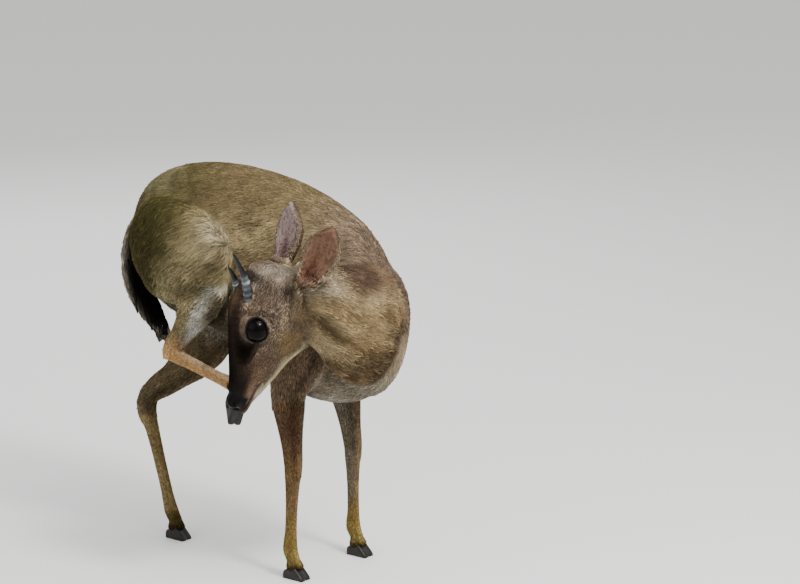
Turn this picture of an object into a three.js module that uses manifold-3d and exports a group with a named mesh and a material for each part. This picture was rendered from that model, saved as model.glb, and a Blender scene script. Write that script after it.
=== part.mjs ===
// A life-size still model of a male suni, a dwarf antelope, in millimetres with +Z up.
// It stands on three feet and turns its head back along its right side to meet its lifted
// right hind hoof. +X points to the front of the trunk and +Y to the animal's left.
import * as THREE from "three";
import { mergeVertices } from "three/addons/utils/BufferGeometryUtils.js";
import Module from "manifold-3d";

const wasm = await Module();
wasm.setup();

const V = (x, y, z) => new THREE.Vector3(x, y, z);
const FORWARD = V(1, 0, 0);
const LEFTWARD = V(0, 1, 0);
const UPWARD = V(0, 0, 1);

// The trunk lies along X, from the buttock to the breast.
const BUTTOCK_X = -112;
const BREAST_X = 203;
const CROUP_HEIGHT = 379;
const WITHERS_HEIGHT = 341;
const CHEST_BOTTOM = 165;
const LOIN_X = 38;

// Joints of the legs.
const HIP = { x: -76, y: 34, z: 300 };
const STANDING_HOCK = V(-111, -6, 122);
const STANDING_STIFLE = V(-16, 24, 212);
const STANDING_FETLOCK = V(-63, -26, 27);
const STANDING_HIND_SOLE = V(-54, -27, 0);
const LIFTED_STIFLE = V(44, -62, 288);
const LIFTED_HOCK = V(-46, -41, 195);
const LIFTED_FETLOCK = V(66, -80, 190);
const LIFTED_HOOF_TIP = V(92, -99, 164);
const FORE_SOLE = { left: V(116, 43, 0), right: V(112, -49, 0) };
const ELBOW_HEIGHT = 190;
const CARPUS_HEIGHT = 109;
const FORE_FETLOCK_HEIGHT = 28;

// The head hangs with its face to the rear and right. Places on it are given from the tip
// of the muzzle: back towards the poll, to its left, and out through the face.
const MUZZLE_TIP = V(107, -119, 187);
const HEAD_DOWN = V(-0.181, -0.176, -0.968).normalize();
const HEAD_LEFT = V(0.893, -0.442, -0.086);
const HEAD_LENGTH = 134;
const EYE_RADIUS = 12;
const HORN_LENGTH = { left: 59, right: 36 };

const SKIN_GAP = 0.3;
const DOME_SHARES = [0.35, 0.65, 0.88];
const HOOF_LENGTH = 25;
const HOOF_WIDTH = 6.6;
const HOOF_HEIGHT = 13;

const COLOURS = {
  back: new THREE.MeshStandardMaterial({ color: 0x74654a, roughness: 0.9, metalness: 0 }),
  face: new THREE.MeshStandardMaterial({ color: 0x6b5b4d, roughness: 0.85, metalness: 0 }),
  leg: new THREE.MeshStandardMaterial({ color: 0xa8835a, roughness: 0.9, metalness: 0 }),
  ear: new THREE.MeshStandardMaterial({ color: 0x8d6a5c, roughness: 0.8, metalness: 0 }),
  tail: new THREE.MeshStandardMaterial({ color: 0x2e2722, roughness: 0.9, metalness: 0 }),
  horn: new THREE.MeshStandardMaterial({ color: 0x3b3a38, roughness: 0.45, metalness: 0 }),
  hoof: new THREE.MeshStandardMaterial({ color: 0x1c1a19, roughness: 0.4, metalness: 0 }),
  nose: new THREE.MeshStandardMaterial({ color: 0x0f0e0e, roughness: 0.25, metalness: 0 }),
  eye: new THREE.MeshStandardMaterial({ color: 0x0a0807, roughness: 0.05, metalness: 0 }),
};

// A closed triangle mesh as a solid that can be joined and cut.
function solidOf(geometry) {
  const bare = geometry.clone();
  bare.deleteAttribute("normal");
  bare.deleteAttribute("uv");
  const merged = mergeVertices(bare, 1e-4);
  return new wasm.Manifold(new wasm.Mesh({
    numProp: 3,
    vertProperties: merged.attributes.position.array,
    triVerts: new Uint32Array(merged.index.array),
  }));
}

// The largest closed surface of a solid, without sealed hollows and loose scraps.
function largestBody(solid) {
  const bodies = solid.decompose();
  return bodies.reduce((best, body) => (body.volume() > best.volume() ? body : best));
}

function union(...solids) {
  return largestBody(solids.reduce((whole, solid) => whole.add(solid)));
}

function meshOf(name, solid, material) {
  const made = largestBody(solid).getMesh();
  const geometry = new THREE.BufferGeometry();
  geometry.setAttribute("position", new THREE.BufferAttribute(made.vertProperties, 3));
  geometry.setIndex(new THREE.BufferAttribute(made.triVerts, 1));
  geometry.computeVertexNormals();
  const mesh = new THREE.Mesh(geometry, material);
  mesh.name = name;
  return mesh;
}

// Both sides of a solid that a plane parts, each half the gap away from the plane.
function partAt(solid, point, direction) {
  const n = direction.clone().normalize();
  const offset = n.dot(point);
  const ahead = solid.trimByPlane(n.toArray(), offset + SKIN_GAP / 2);
  const behind = solid.trimByPlane(n.clone().negate().toArray(), -offset + SKIN_GAP / 2);
  return [largestBody(behind), largestBody(ahead)];
}

// A station of a limb or trunk: its centre, half its width across, and how far its flesh
// reaches on either side of the centre. A higher squareness gives a fuller section.
function station(at, across, over, under = over, squareness = 2) {
  return { at, across, over, under, squareness };
}

function smooth(values, t) {
  const last = values.length - 1;
  const i = Math.min(Math.floor(t * last), last - 1);
  const u = t * last - i;
  const a = values[Math.max(i - 1, 0)];
  const b = values[i];
  const c = values[i + 1];
  const d = values[Math.min(i + 2, last)];
  return 0.5 * (2 * b + (c - a) * u + (2 * a - 5 * b + 4 * c - d) * u * u
    + (3 * b - a - 3 * c + d) * u * u * u);
}

// A closed loft through stations. Each section lies across the path, its width along
// sideways, or square to upwards where that is given. The ends are domed by the given
// lengths. Grow makes the whole form larger all round, to cut its neighbour clear of it.
function loft(stations, options) {
  const { sideways = LEFTWARD, upwards, steps = 3, sides = 20, domes, grow = 0 } = options;
  const count = (stations.length - 1) * steps;
  const field = (pick) => stations.map(pick);
  const xs = field((s) => s.at.x);
  const ys = field((s) => s.at.y);
  const zs = field((s) => s.at.z);
  const place = (t) => V(smooth(xs, t), smooth(ys, t), smooth(zs, t));
  const rings = [];
  for (let i = 0; i <= count; i += 1) {
    const t = i / count;
    const tangent = place(Math.min(t + 0.01, 1)).sub(place(Math.max(t - 0.01, 0))).normalize();
    rings.push({
      centre: place(t), tangent, shrink: 1,
      across: smooth(field((s) => s.across), t) + grow,
      over: smooth(field((s) => s.over), t) + grow,
      under: smooth(field((s) => s.under), t) + grow,
      squareness: smooth(field((s) => s.squareness), t),
    });
  }
  const dome = (ring, length, way) => DOME_SHARES.map((share) => ({
    ...ring,
    centre: ring.centre.clone().addScaledVector(ring.tangent, way * (length + grow) * share),
    shrink: Math.sqrt(1 - share * share),
  }));
  const first = rings[0];
  const last = rings[rings.length - 1];
  const all = [...dome(first, domes[0], -1).reverse(), ...rings, ...dome(last, domes[1], 1)];

  const points = [];
  all.forEach((ring) => {
    const side = upwards
      ? new THREE.Vector3().crossVectors(upwards, ring.tangent)
      : sideways.clone().addScaledVector(ring.tangent, -sideways.dot(ring.tangent));
    side.normalize();
    const over = new THREE.Vector3().crossVectors(ring.tangent, side);
    for (let k = 0; k < sides; k += 1) {
      const angle = (2 * Math.PI * k) / sides;
      const power = 2 / ring.squareness;
      const c = Math.sign(Math.cos(angle)) * Math.abs(Math.cos(angle)) ** power;
      const s = Math.sign(Math.sin(angle)) * Math.abs(Math.sin(angle)) ** power;
      const reach = s > 0 ? ring.over : ring.under;
      points.push(ring.centre.clone()
        .addScaledVector(side, c * ring.across * ring.shrink)
        .addScaledVector(over, s * reach * ring.shrink));
    }
  });
  const startPole = first.centre.clone().addScaledVector(first.tangent, -(domes[0] + grow));
  const endPole = last.centre.clone().addScaledVector(last.tangent, domes[1] + grow);
  points.push(startPole, endPole);
  const faces = [];
  for (let r = 0; r < all.length - 1; r += 1) {
    for (let k = 0; k < sides; k += 1) {
      const a = r * sides + k;
      const b = r * sides + ((k + 1) % sides);
      faces.push(a, b, b + sides, a, b + sides, a + sides);
    }
  }
  const tail = (all.length - 1) * sides;
  for (let k = 0; k < sides; k += 1) {
    const next = (k + 1) % sides;
    faces.push(points.length - 2, next, k);
    faces.push(points.length - 1, tail + k, tail + next);
  }
  const geometry = new THREE.BufferGeometry().setFromPoints(points);
  geometry.setIndex(faces);
  return solidOf(geometry);
}

// A ball stretched along its own three directions.
function ellipsoid(centre, directions, radii, detail = 16) {
  const ball = new THREE.SphereGeometry(1, detail, Math.round(detail * 0.7));
  const turn = new THREE.Matrix4().makeBasis(...directions);
  turn.scale(V(...radii));
  turn.setPosition(centre);
  ball.applyMatrix4(turn);
  return solidOf(ball);
}

function box(centre, directions, size) {
  const block = new THREE.BoxGeometry(...size);
  const turn = new THREE.Matrix4().makeBasis(...directions).setPosition(centre);
  block.applyMatrix4(turn);
  return solidOf(block);
}

const between = (a, b, share) => a.clone().lerp(b, share);
const shifted = (a, x, y, z) => a.clone().add(V(x, y, z));

// The trunk, from the rounded buttocks over an arched loin to the breast. Each line holds
// a place along X, the top and bottom of the trunk there, half its width and squareness.
function trunk(grow = 0) {
  const profile = [
    [BUTTOCK_X, CROUP_HEIGHT - 60, CROUP_HEIGHT - 118, 17, 2],
    [-95, CROUP_HEIGHT - 33, CROUP_HEIGHT - 140, 28, 2.1],
    [-68, CROUP_HEIGHT - 14, CROUP_HEIGHT - 152, 39, 2.2],
    [-34, CROUP_HEIGHT - 3, CROUP_HEIGHT - 158, 45, 2.2],
    [4, CROUP_HEIGHT + 1, 216, 47, 2.2],
    [46, CROUP_HEIGHT - 2, 200, 49, 2.2],
    [84, WITHERS_HEIGHT + 25, 182, 47, 2.2],
    [118, WITHERS_HEIGHT + 7, CHEST_BOTTOM, 44, 2.2],
    [150, WITHERS_HEIGHT - 14, CHEST_BOTTOM, 41, 2.2],
    [178, WITHERS_HEIGHT - 37, CHEST_BOTTOM + 14, 34, 2.1],
  ];
  const stations = profile.map(([x, top, bottom, half, squareness]) =>
    station(V(x, 0, (top + bottom) / 2), half, (top - bottom) / 2, (top - bottom) / 2, squareness));
  return loft(stations, { sides: 20, steps: 2, domes: [9, BREAST_X - 178], grow });
}

// Fore leg: shoulder blade and upper arm lie on the trunk, then the forearm goes down.
function shoulder(side, grow = 0) {
  const y = side === "left" ? 1 : -1;
  const sole = FORE_SOLE[side];
  return loft([
    station(V(104, y * 31, WITHERS_HEIGHT - 44), 12, 20),
    station(V(119, y * 38, WITHERS_HEIGHT - 84), 15, 25, 27),
    station(V(127, y * 39, 232), 15.5, 27, 27),
    station(V(111, y * 39, 205), 14.5, 22, 24),
    station(V(sole.x - 9, sole.y * 0.86, ELBOW_HEIGHT - 9), 12.5, 18, 19),
  ], { sides: 14, steps: 2, domes: [16, 8], grow });
}

function foreLeg(side, grow = 0) {
  const sole = FORE_SOLE[side];
  const foot = (height, share, back) => V(sole.x - back, sole.y * share, height);
  return loft([
    station(foot(ELBOW_HEIGHT + 4, 0.84, 11), 12, 15, 17),
    station(foot(ELBOW_HEIGHT - 20, 0.86, 8), 14, 17, 18),
    station(foot(150, 0.89, 5), 11.5, 13.5, 14),
    station(foot(CARPUS_HEIGHT + 20, 0.91, 2), 9, 10.5, 11),
    station(foot(CARPUS_HEIGHT, 0.93, 0), 8.6, 9.6, 9.2),
    station(foot(CARPUS_HEIGHT - 15, 0.94, 0.5), 6.8, 7.2, 7.6),
    station(foot(70, 0.96, 1), 5.4, 5.8, 6.4),
    station(foot(44, 0.98, 1.5), 5.4, 5.8, 6.4),
    station(foot(FORE_FETLOCK_HEIGHT, 0.99, 2), 7, 6.8, 7.8),
    station(foot(19, 1, -2), 6, 5.6, 6.4),
    station(foot(11, 1, -4), 6.6, 6.4, 7),
  ], { sides: 10, steps: 2, domes: [10, 3], grow });
}

// Thigh and shank of the hind leg that stands, drawn in under the body.
function standingThigh(grow = 0) {
  return loft([
    station(V(HIP.x - 4, HIP.y - 17, HIP.z + 30), 18, 36, 40),
    station(V(HIP.x - 2, HIP.y - 7, HIP.z - 4), 23, 54, 54),
    station(V(-68, 26, 258), 21.5, 55, 54),
    station(V(-55, 23, 222), 16.5, 46, 42),
    station(V(-62, 16, 188), 12, 33, 22),
    station(V(-82, 6, 160), 8.5, 19, 13),
    station(V(-100, -1, 140), 6.5, 11, 11),
  ], { sides: 16, steps: 2, domes: [14, 3], grow });
}

function standingShank() {
  const hock = STANDING_HOCK;
  const fetlock = STANDING_FETLOCK;
  return loft([
    station(V(-90, 2, 149), 7.2, 13, 15),
    station(shifted(hock, 3, 1, 11), 6.6, 9, 13),
    station(shifted(hock, 1, 0, -4), 7.2, 8.5, 12.5),
    station(between(hock, fetlock, 0.22), 6, 7, 8.8),
    station(between(hock, fetlock, 0.5), 5.4, 6, 6.8),
    station(between(hock, fetlock, 0.82), 5.4, 5.8, 6.6),
    station(fetlock, 6.8, 6.6, 7.8),
    station(V(-56, -27, 18), 6, 5.6, 6.4),
    station(V(-55, -27, 11), 6.6, 6.4, 7),
  ], { sides: 10, steps: 2, domes: [8, 3] });
}

// Thigh and shank of the lifted hind leg, folded forward along the flank.
function liftedThigh(grow = 0) {
  return loft([
    station(V(HIP.x - 3, -HIP.y + 6, HIP.z - 4), 21, 36, 38),
    station(V(HIP.x + 16, -HIP.y - 1, HIP.z - 2), 25, 47, 50),
    station(V(-36, -46, 297), 25, 50, 52),
    station(V(2, -53, 296), 20, 46, 46),
    station(shifted(LIFTED_STIFLE, -14, 4, 2), 14, 33, 28),
  ], { sides: 16, steps: 2, domes: [15, 13], grow });
}

function liftedShank(grow = 0) {
  const stifle = LIFTED_STIFLE;
  const hock = LIFTED_HOCK;
  return loft([
    station(between(stifle, hock, 0.18), 9, 17, 24),
    station(between(stifle, hock, 0.38), 11, 15, 26),
    station(between(stifle, hock, 0.58), 10, 11, 20),
    station(between(stifle, hock, 0.78), 7.5, 8.5, 13),
    station(between(stifle, hock, 0.93), 6.8, 8, 12),
    station(between(stifle, hock, 1.02), 6.8, 8, 9),
  ], { sides: 14, steps: 2, domes: [10, 5], grow });
}

function liftedFoot() {
  const hock = LIFTED_HOCK;
  const fetlock = LIFTED_FETLOCK;
  return loft([
    station(between(hock, fetlock, -0.02), 6.6, 8, 8.6),
    station(between(hock, fetlock, 0.1), 6.4, 7.4, 8.4),
    station(between(hock, fetlock, 0.3), 5.6, 6.2, 7.2),
    station(between(hock, fetlock, 0.8), 5.4, 5.8, 6.4),
    station(fetlock, 6.8, 7, 7.6),
    station(between(fetlock, LIFTED_HOOF_TIP, 0.3), 6, 6, 6.4),
    station(between(fetlock, LIFTED_HOOF_TIP, 0.48), 6.4, 6.6, 6.8),
  ], { sides: 10, steps: 2, domes: [8, 3] });
}

// The neck turns from the breast across to the right and meets the back of the head.
function neck(grow = 0) {
  return loft([
    station(V(128, 4, 266), 38, 50, 68),
    station(V(160, 0, 264), 37, 47, 70),
    station(V(178, -22, 268), 34, 40, 66),
    station(V(173, -54, 280), 30, 32, 46),
    station(V(152, -82, 290), 26, 29, 32),
  ], { upwards: UPWARD, sides: 20, steps: 2, domes: [12, 12], grow });
}

const HEAD_BACK = HEAD_DOWN.clone().negate();
const HEAD_SIDE = HEAD_LEFT.clone()
  .addScaledVector(HEAD_BACK, -HEAD_LEFT.dot(HEAD_BACK))
  .normalize();
const HEAD_FACE = new THREE.Vector3().crossVectors(HEAD_SIDE, HEAD_BACK);
const HEAD_AXES = [HEAD_SIDE, HEAD_BACK, HEAD_FACE];

function onHead(back, left, face) {
  return MUZZLE_TIP.clone()
    .addScaledVector(HEAD_BACK, back)
    .addScaledVector(HEAD_SIDE, left)
    .addScaledVector(HEAD_FACE, face);
}

// A direction given by its shares back, left and out through the face.
function headWay(back, left, face) {
  return onHead(back, left, face).sub(MUZZLE_TIP).normalize();
}

// Skull and jaws. Each line holds a place back from the muzzle, half the width there, and
// how far bridge or forehead and jaw lie from the line of the mouth.
function skull() {
  const profile = [
    [4, 8.8, 9, 13.5],
    [14, 11.5, 12.5, 21],
    [30, 13.5, 16.5, 31],
    [48, 16, 21, 40],
    [64, 20, 25, 53],
    [78, 24, 28.5, 60],
    [92, 27, 30.5, 61],
    [106, 27, 28, 52],
    [HEAD_LENGTH - 14, 25, 20, 30],
  ];
  const stations = profile.map(([back, half, face, jaw]) =>
    station(onHead(back, 0, 0), half, face, jaw, 2.15));
  return loft(stations, {
    sideways: HEAD_SIDE.clone().negate(), sides: 20, steps: 2, domes: [5, 15],
  });
}

const EYE_PLACE = { back: 78, left: 18, face: 9.5 };
const EYE_WAY = { back: -0.12, left: 0.93, face: 0.33 };

function eyeBall(y, grow = 0) {
  const { back, left, face } = EYE_PLACE;
  return ellipsoid(onHead(back, y * left, face), HEAD_AXES, Array(3).fill(EYE_RADIUS + grow), 14);
}

// The lids: a rim round the eye, longer than it is high.
function lids(y) {
  const out = headWay(EYE_WAY.back, y * EYE_WAY.left, EYE_WAY.face);
  const along = headWay(1, 0, 0);
  along.addScaledVector(out, -along.dot(out)).normalize();
  const across = new THREE.Vector3().crossVectors(out, along);
  const rim = new THREE.TorusGeometry(EYE_RADIUS - 0.3, 2.4, 6, 16);
  const turn = new THREE.Matrix4().makeBasis(along, across, out);
  turn.scale(V(1.06, 0.98, 1.2));
  const { back, left, face } = EYE_PLACE;
  turn.setPosition(onHead(back, y * left, face).addScaledVector(out, 4.4));
  rim.applyMatrix4(turn);
  return solidOf(rim);
}

function nosePad(grow = 0) {
  return ellipsoid(onHead(2.5, 0, 4.5), HEAD_AXES, [9 + grow, 7.5 + grow, 8 + grow], 12);
}

function nostril(y) {
  const way = headWay(0.5, y * 0.5, 0.7);
  const up = headWay(0.75, 0, -0.5);
  const across = new THREE.Vector3().crossVectors(up, way).normalize();
  const straight = new THREE.Vector3().crossVectors(way, across);
  return ellipsoid(onHead(-0.5, y * 6.6, 6.4), [across, straight, way], [1.6, 3.6, 4], 8);
}

// The mouth is a narrow slit from the lips back to the corner under the cheek.
function mouthSlit() {
  const corner = onHead(25, 0, -10.5);
  const lips = onHead(-8, 0, -3.5);
  const along = corner.clone().sub(lips).normalize();
  const over = new THREE.Vector3().crossVectors(HEAD_SIDE, along);
  return box(between(lips, corner, 0.5), [HEAD_SIDE, along, over],
    [44, corner.distanceTo(lips), 0.8]);
}

function glandSlit(y) {
  return ellipsoid(onHead(52, y * 16.5, 6), HEAD_AXES, [3.5, 7, 1.6], 8);
}

// An ear: a leaf-shaped shell, open to the front, on a round base sunk into the head.
const EARS = {
  left: { root: onHead(124, 27, -22), tip: onHead(188, 48, -26), open: headWay(-0.1, 0.7, 0.7) },
  right: { root: onHead(128, -22, -19), tip: onHead(189, -33, -20), open: headWay(-0.1, 0.2, 0.97) },
};
const EAR_LINE = [
  [0, 9, 8.5],
  [0.16, 10.5, 9],
  [0.38, 16.5, 9.5],
  [0.62, 18, 8.5],
  [0.82, 12, 5.5],
  [0.95, 4.5, 2.6],
];
const EAR_WALL = 1.5;
const EAR_BASE = [9, 8, 8.5];

function ear(name) {
  const { root, tip } = EARS[name];
  const way = tip.clone().sub(root).normalize();
  const open = EARS[name].open.clone();
  open.addScaledVector(way, -open.dot(way)).normalize();
  const across = new THREE.Vector3().crossVectors(way, open);
  const leaf = (inset, lift, from, grow) => loft(
    EAR_LINE.filter(([share]) => share >= from)
      .map(([share, half, deep]) => station(
        between(root, tip, share).addScaledVector(open, lift - 3 * Math.sin(Math.PI * share)),
        half - inset, deep - inset)),
    { sideways: across, sides: 10, steps: 2, domes: [3, 3 - inset], grow });
  const baseOf = (grow) => ellipsoid(root, [across, way, open], EAR_BASE.map((r) => r + grow), 10);
  const shell = leaf(0, 0, 0, 0).subtract(leaf(EAR_WALL, 5, 0.16, 0)).add(baseOf(0));
  return { shell, room: leaf(0, 0, 0, SKIN_GAP).add(baseOf(SKIN_GAP)) };
}

// A horn: a slim cone, ringed over its lower half, that bends slightly forward.
function horn(y, grow = 0) {
  const rings = 5;
  const steps = 15;
  const ringed = 0.6;
  const length = y > 0 ? HORN_LENGTH.left : HORN_LENGTH.right;
  const base = onHead(95, y * 12, 19);
  const stations = [];
  for (let i = 0; i <= steps; i += 1) {
    const t = i / steps;
    const ridge = t < ringed && t > 0.1 ? 0.5 * Math.cos((2 * Math.PI * rings * t) / ringed) : 0;
    const thick = 4.6 * (1 - t) ** 0.8 + 0.8 + ridge * (1 - t);
    const at = base.clone()
      .addScaledVector(HEAD_BACK, length * 0.83 * t)
      .addScaledVector(HEAD_FACE, length * (0.52 * t - 0.08 * Math.sin(Math.PI * t)))
      .addScaledVector(HEAD_SIDE, y * t);
    stations.push(station(at, thick, thick * 1.08));
  }
  return loft(stations, { sideways: HEAD_SIDE, sides: 8, steps: 1, domes: [3, 1], grow });
}

// The tail hangs down behind the buttocks, a little to the right, and curls in below the lifted
// thigh. It is broad with hair and tapers to its end.
function tail(grow = 0) {
  return loft([
    station(V(BUTTOCK_X + 5, 0, 318), 8, 6),
    station(V(BUTTOCK_X - 6, -4, 300), 11, 6),
    station(V(BUTTOCK_X - 8, -9, 280), 12, 6),
    station(V(BUTTOCK_X - 4, -13, 260), 12, 6),
    station(V(BUTTOCK_X + 6, -16, 241), 10, 5.5),
    station(V(BUTTOCK_X + 20, -17, 224), 7, 4.5),
    station(V(BUTTOCK_X + 30, -17, 213), 4, 3),
  ], { sides: 10, steps: 2, domes: [6, 10], grow });
}

// A hoof is two toes side by side. Each is a wedge with a flat sole.
function toe(tip, forward, up, y) {
  const left = new THREE.Vector3().crossVectors(up, forward);
  const outline = new THREE.Shape();
  outline.moveTo(-HOOF_LENGTH * 0.45, 0);
  outline.lineTo(HOOF_LENGTH * 0.5, 0);
  outline.quadraticCurveTo(HOOF_LENGTH * 0.55, 1.5, HOOF_LENGTH * 0.42, 4.5);
  outline.lineTo(HOOF_LENGTH * 0.08, HOOF_HEIGHT);
  outline.lineTo(-HOOF_LENGTH * 0.42, 8);
  outline.quadraticCurveTo(-HOOF_LENGTH * 0.5, 3, -HOOF_LENGTH * 0.45, 0);
  const block = new THREE.ExtrudeGeometry(outline, {
    depth: HOOF_WIDTH - 1.6, bevelEnabled: true, bevelSize: 0.8, bevelThickness: 0.8,
    bevelSegments: 1, curveSegments: 3, bevelOffset: -0.8,
  });
  block.translate(0, 0, -(HOOF_WIDTH - 1.6) / 2);
  const turn = new THREE.Matrix4().makeBasis(forward, up, new THREE.Vector3().crossVectors(forward, up));
  turn.setPosition(tip.clone().addScaledVector(left, y * (HOOF_WIDTH / 2 + 0.5)));
  block.applyMatrix4(turn);
  return solidOf(block);
}

// A whole leg is parted at its joints. The lowest plane is the top of the hooves, which
// slopes down to the heel.
function legNodes(leg, cuts) {
  const pieces = [];
  let rest = leg;
  cuts.forEach(({ at, way }) => {
    const [behind, ahead] = partAt(rest, at, way);
    pieces.push(behind);
    rest = ahead;
  });
  return pieces;
}

function hooves(soleCentre, forward, up) {
  return [1, -1].map((y) => toe(soleCentre, forward, up, y));
}

// The plane on top of a pair of hooves, facing down the leg.
function coronet(soleCentre, forward, up) {
  const at = soleCentre.clone()
    .addScaledVector(forward, HOOF_LENGTH * 0.08)
    .addScaledVector(up, HOOF_HEIGHT + SKIN_GAP);
  const way = forward.clone().multiplyScalar(0.37).addScaledVector(up, -0.93);
  return { at, way };
}

const animal = new THREE.Group();

function add(name, solid, material) {
  animal.add(meshOf(name, solid, COLOURS[material]));
}

function addLeg(place, names, pieces, hoofPair) {
  names.forEach((name, i) => add(`${name}_${place}`, pieces[i], i < 1 ? "back" : "leg"));
  add(`hoof_${place}_outer`, hoofPair[place.endsWith("left") ? 0 : 1], "hoof");
  add(`hoof_${place}_inner`, hoofPair[place.endsWith("left") ? 1 : 0], "hoof");
}

// Fore legs.
["left", "right"].forEach((side) => {
  const sole = shifted(FORE_SOLE[side], 5, 0, 0);
  const cut = (height, tilt) => ({
    at: V(FORE_SOLE[side].x, FORE_SOLE[side].y, height),
    way: V(tilt, 0, -1),
  });
  const pieces = legNodes(union(shoulder(side), foreLeg(side)), [
    cut(ELBOW_HEIGHT - 14, 0.2),
    cut(CARPUS_HEIGHT - 4, 0),
    cut(FORE_FETLOCK_HEIGHT + 1, 0.3),
    coronet(sole, FORWARD, UPWARD),
  ]);
  addLeg(`fore_${side}`, ["upper_arm", "forearm", "cannon", "pastern"], pieces,
    hooves(sole, FORWARD, UPWARD));
});

// The hind leg that stands.
const standingLeg = legNodes(union(standingThigh(), standingShank()).subtract(tail(SKIN_GAP)), [
  { at: between(STANDING_STIFLE, V(-78, 20, 196), 0.5), way: V(-0.25, -0.25, -0.93) },
  { at: shifted(STANDING_HOCK, 0, 0, -9), way: STANDING_FETLOCK.clone().sub(STANDING_HOCK) },
  { at: STANDING_FETLOCK, way: V(0.3, 0, -1) },
  coronet(STANDING_HIND_SOLE, FORWARD, UPWARD),
]);
addLeg("hind_left", ["thigh", "shank", "cannon", "pastern"], standingLeg,
  hooves(STANDING_HIND_SOLE, FORWARD, UPWARD));

// The lifted hind leg. Its hooves point down beside the lips.
const liftedToe = V(0.45, -0.35, -0.82).normalize();
const liftedUp = V(0.8, -0.2, 0.5);
liftedUp.addScaledVector(liftedToe, -liftedUp.dot(liftedToe)).normalize();
const liftedSole = between(LIFTED_FETLOCK, LIFTED_HOOF_TIP, 0.5)
  .addScaledVector(liftedToe, HOOF_LENGTH * 0.3)
  .addScaledVector(liftedUp, -9);
const liftedLeg = legNodes(union(liftedThigh(), liftedShank(), liftedFoot()), [
  { at: V(0, LIFTED_STIFLE.y, 247), way: V(0.12, 0, -1) },
  { at: LIFTED_HOCK, way: V(0.25, -0.14, -0.75) },
  { at: LIFTED_FETLOCK, way: V(0.8, -0.35, -0.5) },
  coronet(liftedSole, liftedToe, liftedUp),
]);
addLeg("hind_right", ["thigh", "shank", "cannon", "pastern"], liftedLeg,
  hooves(liftedSole, liftedToe, liftedUp));

// Trunk and neck.
const limbsOnTrunk = [
  standingThigh(SKIN_GAP), liftedThigh(SKIN_GAP), liftedShank(SKIN_GAP), tail(SKIN_GAP),
  shoulder("left", SKIN_GAP), shoulder("right", SKIN_GAP),
  foreLeg("left", SKIN_GAP), foreLeg("right", SKIN_GAP),
];
const bareTrunk = limbsOnTrunk.reduce((rest, limb) => rest.subtract(limb), trunk());
const [loins, chest] = partAt(bareTrunk, V(LOIN_X, 0, 300), FORWARD);
add("torso_rear", loins, "back");
add("torso_front", chest, "back");
add("tail", tail(), "tail");

const bareNeck = neck()
  .subtract(trunk(SKIN_GAP))
  .subtract(shoulder("right", SKIN_GAP))
  .subtract(shoulder("left", SKIN_GAP));
const [neckBase, neckTop] = partAt(bareNeck, V(172, -40, 278), V(-0.42, -0.9, 0.12));
add("neck_base", neckBase, "back");

// Head, with sockets for eyes, horns, ears and nose.
const headPlane = headWay(0.5, 0, -0.85);
const [headSolid, neckRest] = partAt(union(skull(), neckTop), onHead(106, 0, -24), headPlane);
const ears = { left: ear("left"), right: ear("right") };
add("neck_top", neckRest
  .subtract(ears.left.room)
  .subtract(ears.right.room)
  .subtract(shoulder("right", SKIN_GAP)), "face");

const head = [1, -1].reduce((rest, y) => rest
  .add(lids(y))
  .subtract(eyeBall(y, SKIN_GAP))
  .subtract(horn(y, SKIN_GAP))
  .subtract(glandSlit(y)), headSolid)
  .subtract(ears.left.room)
  .subtract(ears.right.room)
  .subtract(nosePad(SKIN_GAP))
  .subtract(mouthSlit());

["left", "right"].forEach((side) => {
  const y = side === "left" ? 1 : -1;
  add(`ear_${side}`, ears[side].shell, "ear");
  add(`eye_${side}`, eyeBall(y), "eye");
  add(`horn_${side}`, horn(y), "horn");
});
add("head", head, "face");
add("nose", nosePad().subtract(nostril(1)).subtract(nostril(-1)), "nose");

// The origin is on the floor, under the middle of the animal's bounding box.
const bounds = new THREE.Box3().setFromObject(animal);
const middle = bounds.getCenter(new THREE.Vector3());
animal.position.set(-middle.x, -middle.y, -bounds.min.z);
const still = new THREE.Group();
still.add(animal);

export default still;
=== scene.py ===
import math
from functools import partial

import bmesh
import bpy
import numpy as np
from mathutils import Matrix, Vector
from mathutils.bvhtree import BVHTree


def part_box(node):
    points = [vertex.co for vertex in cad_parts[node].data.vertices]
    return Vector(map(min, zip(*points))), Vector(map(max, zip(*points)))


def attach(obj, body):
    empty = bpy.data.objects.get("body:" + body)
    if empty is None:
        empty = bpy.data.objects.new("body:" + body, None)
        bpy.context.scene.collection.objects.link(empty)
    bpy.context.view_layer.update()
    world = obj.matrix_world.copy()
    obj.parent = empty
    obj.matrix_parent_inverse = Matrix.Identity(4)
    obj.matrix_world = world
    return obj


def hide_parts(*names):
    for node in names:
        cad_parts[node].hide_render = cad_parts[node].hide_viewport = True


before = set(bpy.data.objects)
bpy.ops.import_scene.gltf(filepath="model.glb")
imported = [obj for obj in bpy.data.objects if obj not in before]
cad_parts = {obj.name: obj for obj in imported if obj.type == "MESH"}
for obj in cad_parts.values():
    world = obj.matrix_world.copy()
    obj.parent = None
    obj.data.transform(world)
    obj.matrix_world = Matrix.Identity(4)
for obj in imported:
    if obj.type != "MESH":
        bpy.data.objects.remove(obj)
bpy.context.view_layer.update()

# Skin
# One seamless hide over trunk, neck, head, ears, legs and tail of a male suni antelope.
# Real skin under short hair: it follows the flesh a coat's depth inside, with lids, lips,
# nostrils and the slit of the gland before each eye worked into it.
MM = 0.001
EYE_RADIUS = 12.0
EYE_PLACE = (78.0, 18.0, 9.5)
EYE_OUT = (-0.12, 0.93, 0.33)
EYE_ALONG = np.array([0.95, 0, 0.3])
GLAND_PLACE = (51, 16.8, 5.5)
NOSTRIL_PLACE = (0.5, 6.9, 6.6)
HEAD_DOWN = np.array([-0.181, -0.176, -0.968])
HEAD_LEFT = np.array([0.893, -0.442, -0.086])
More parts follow.
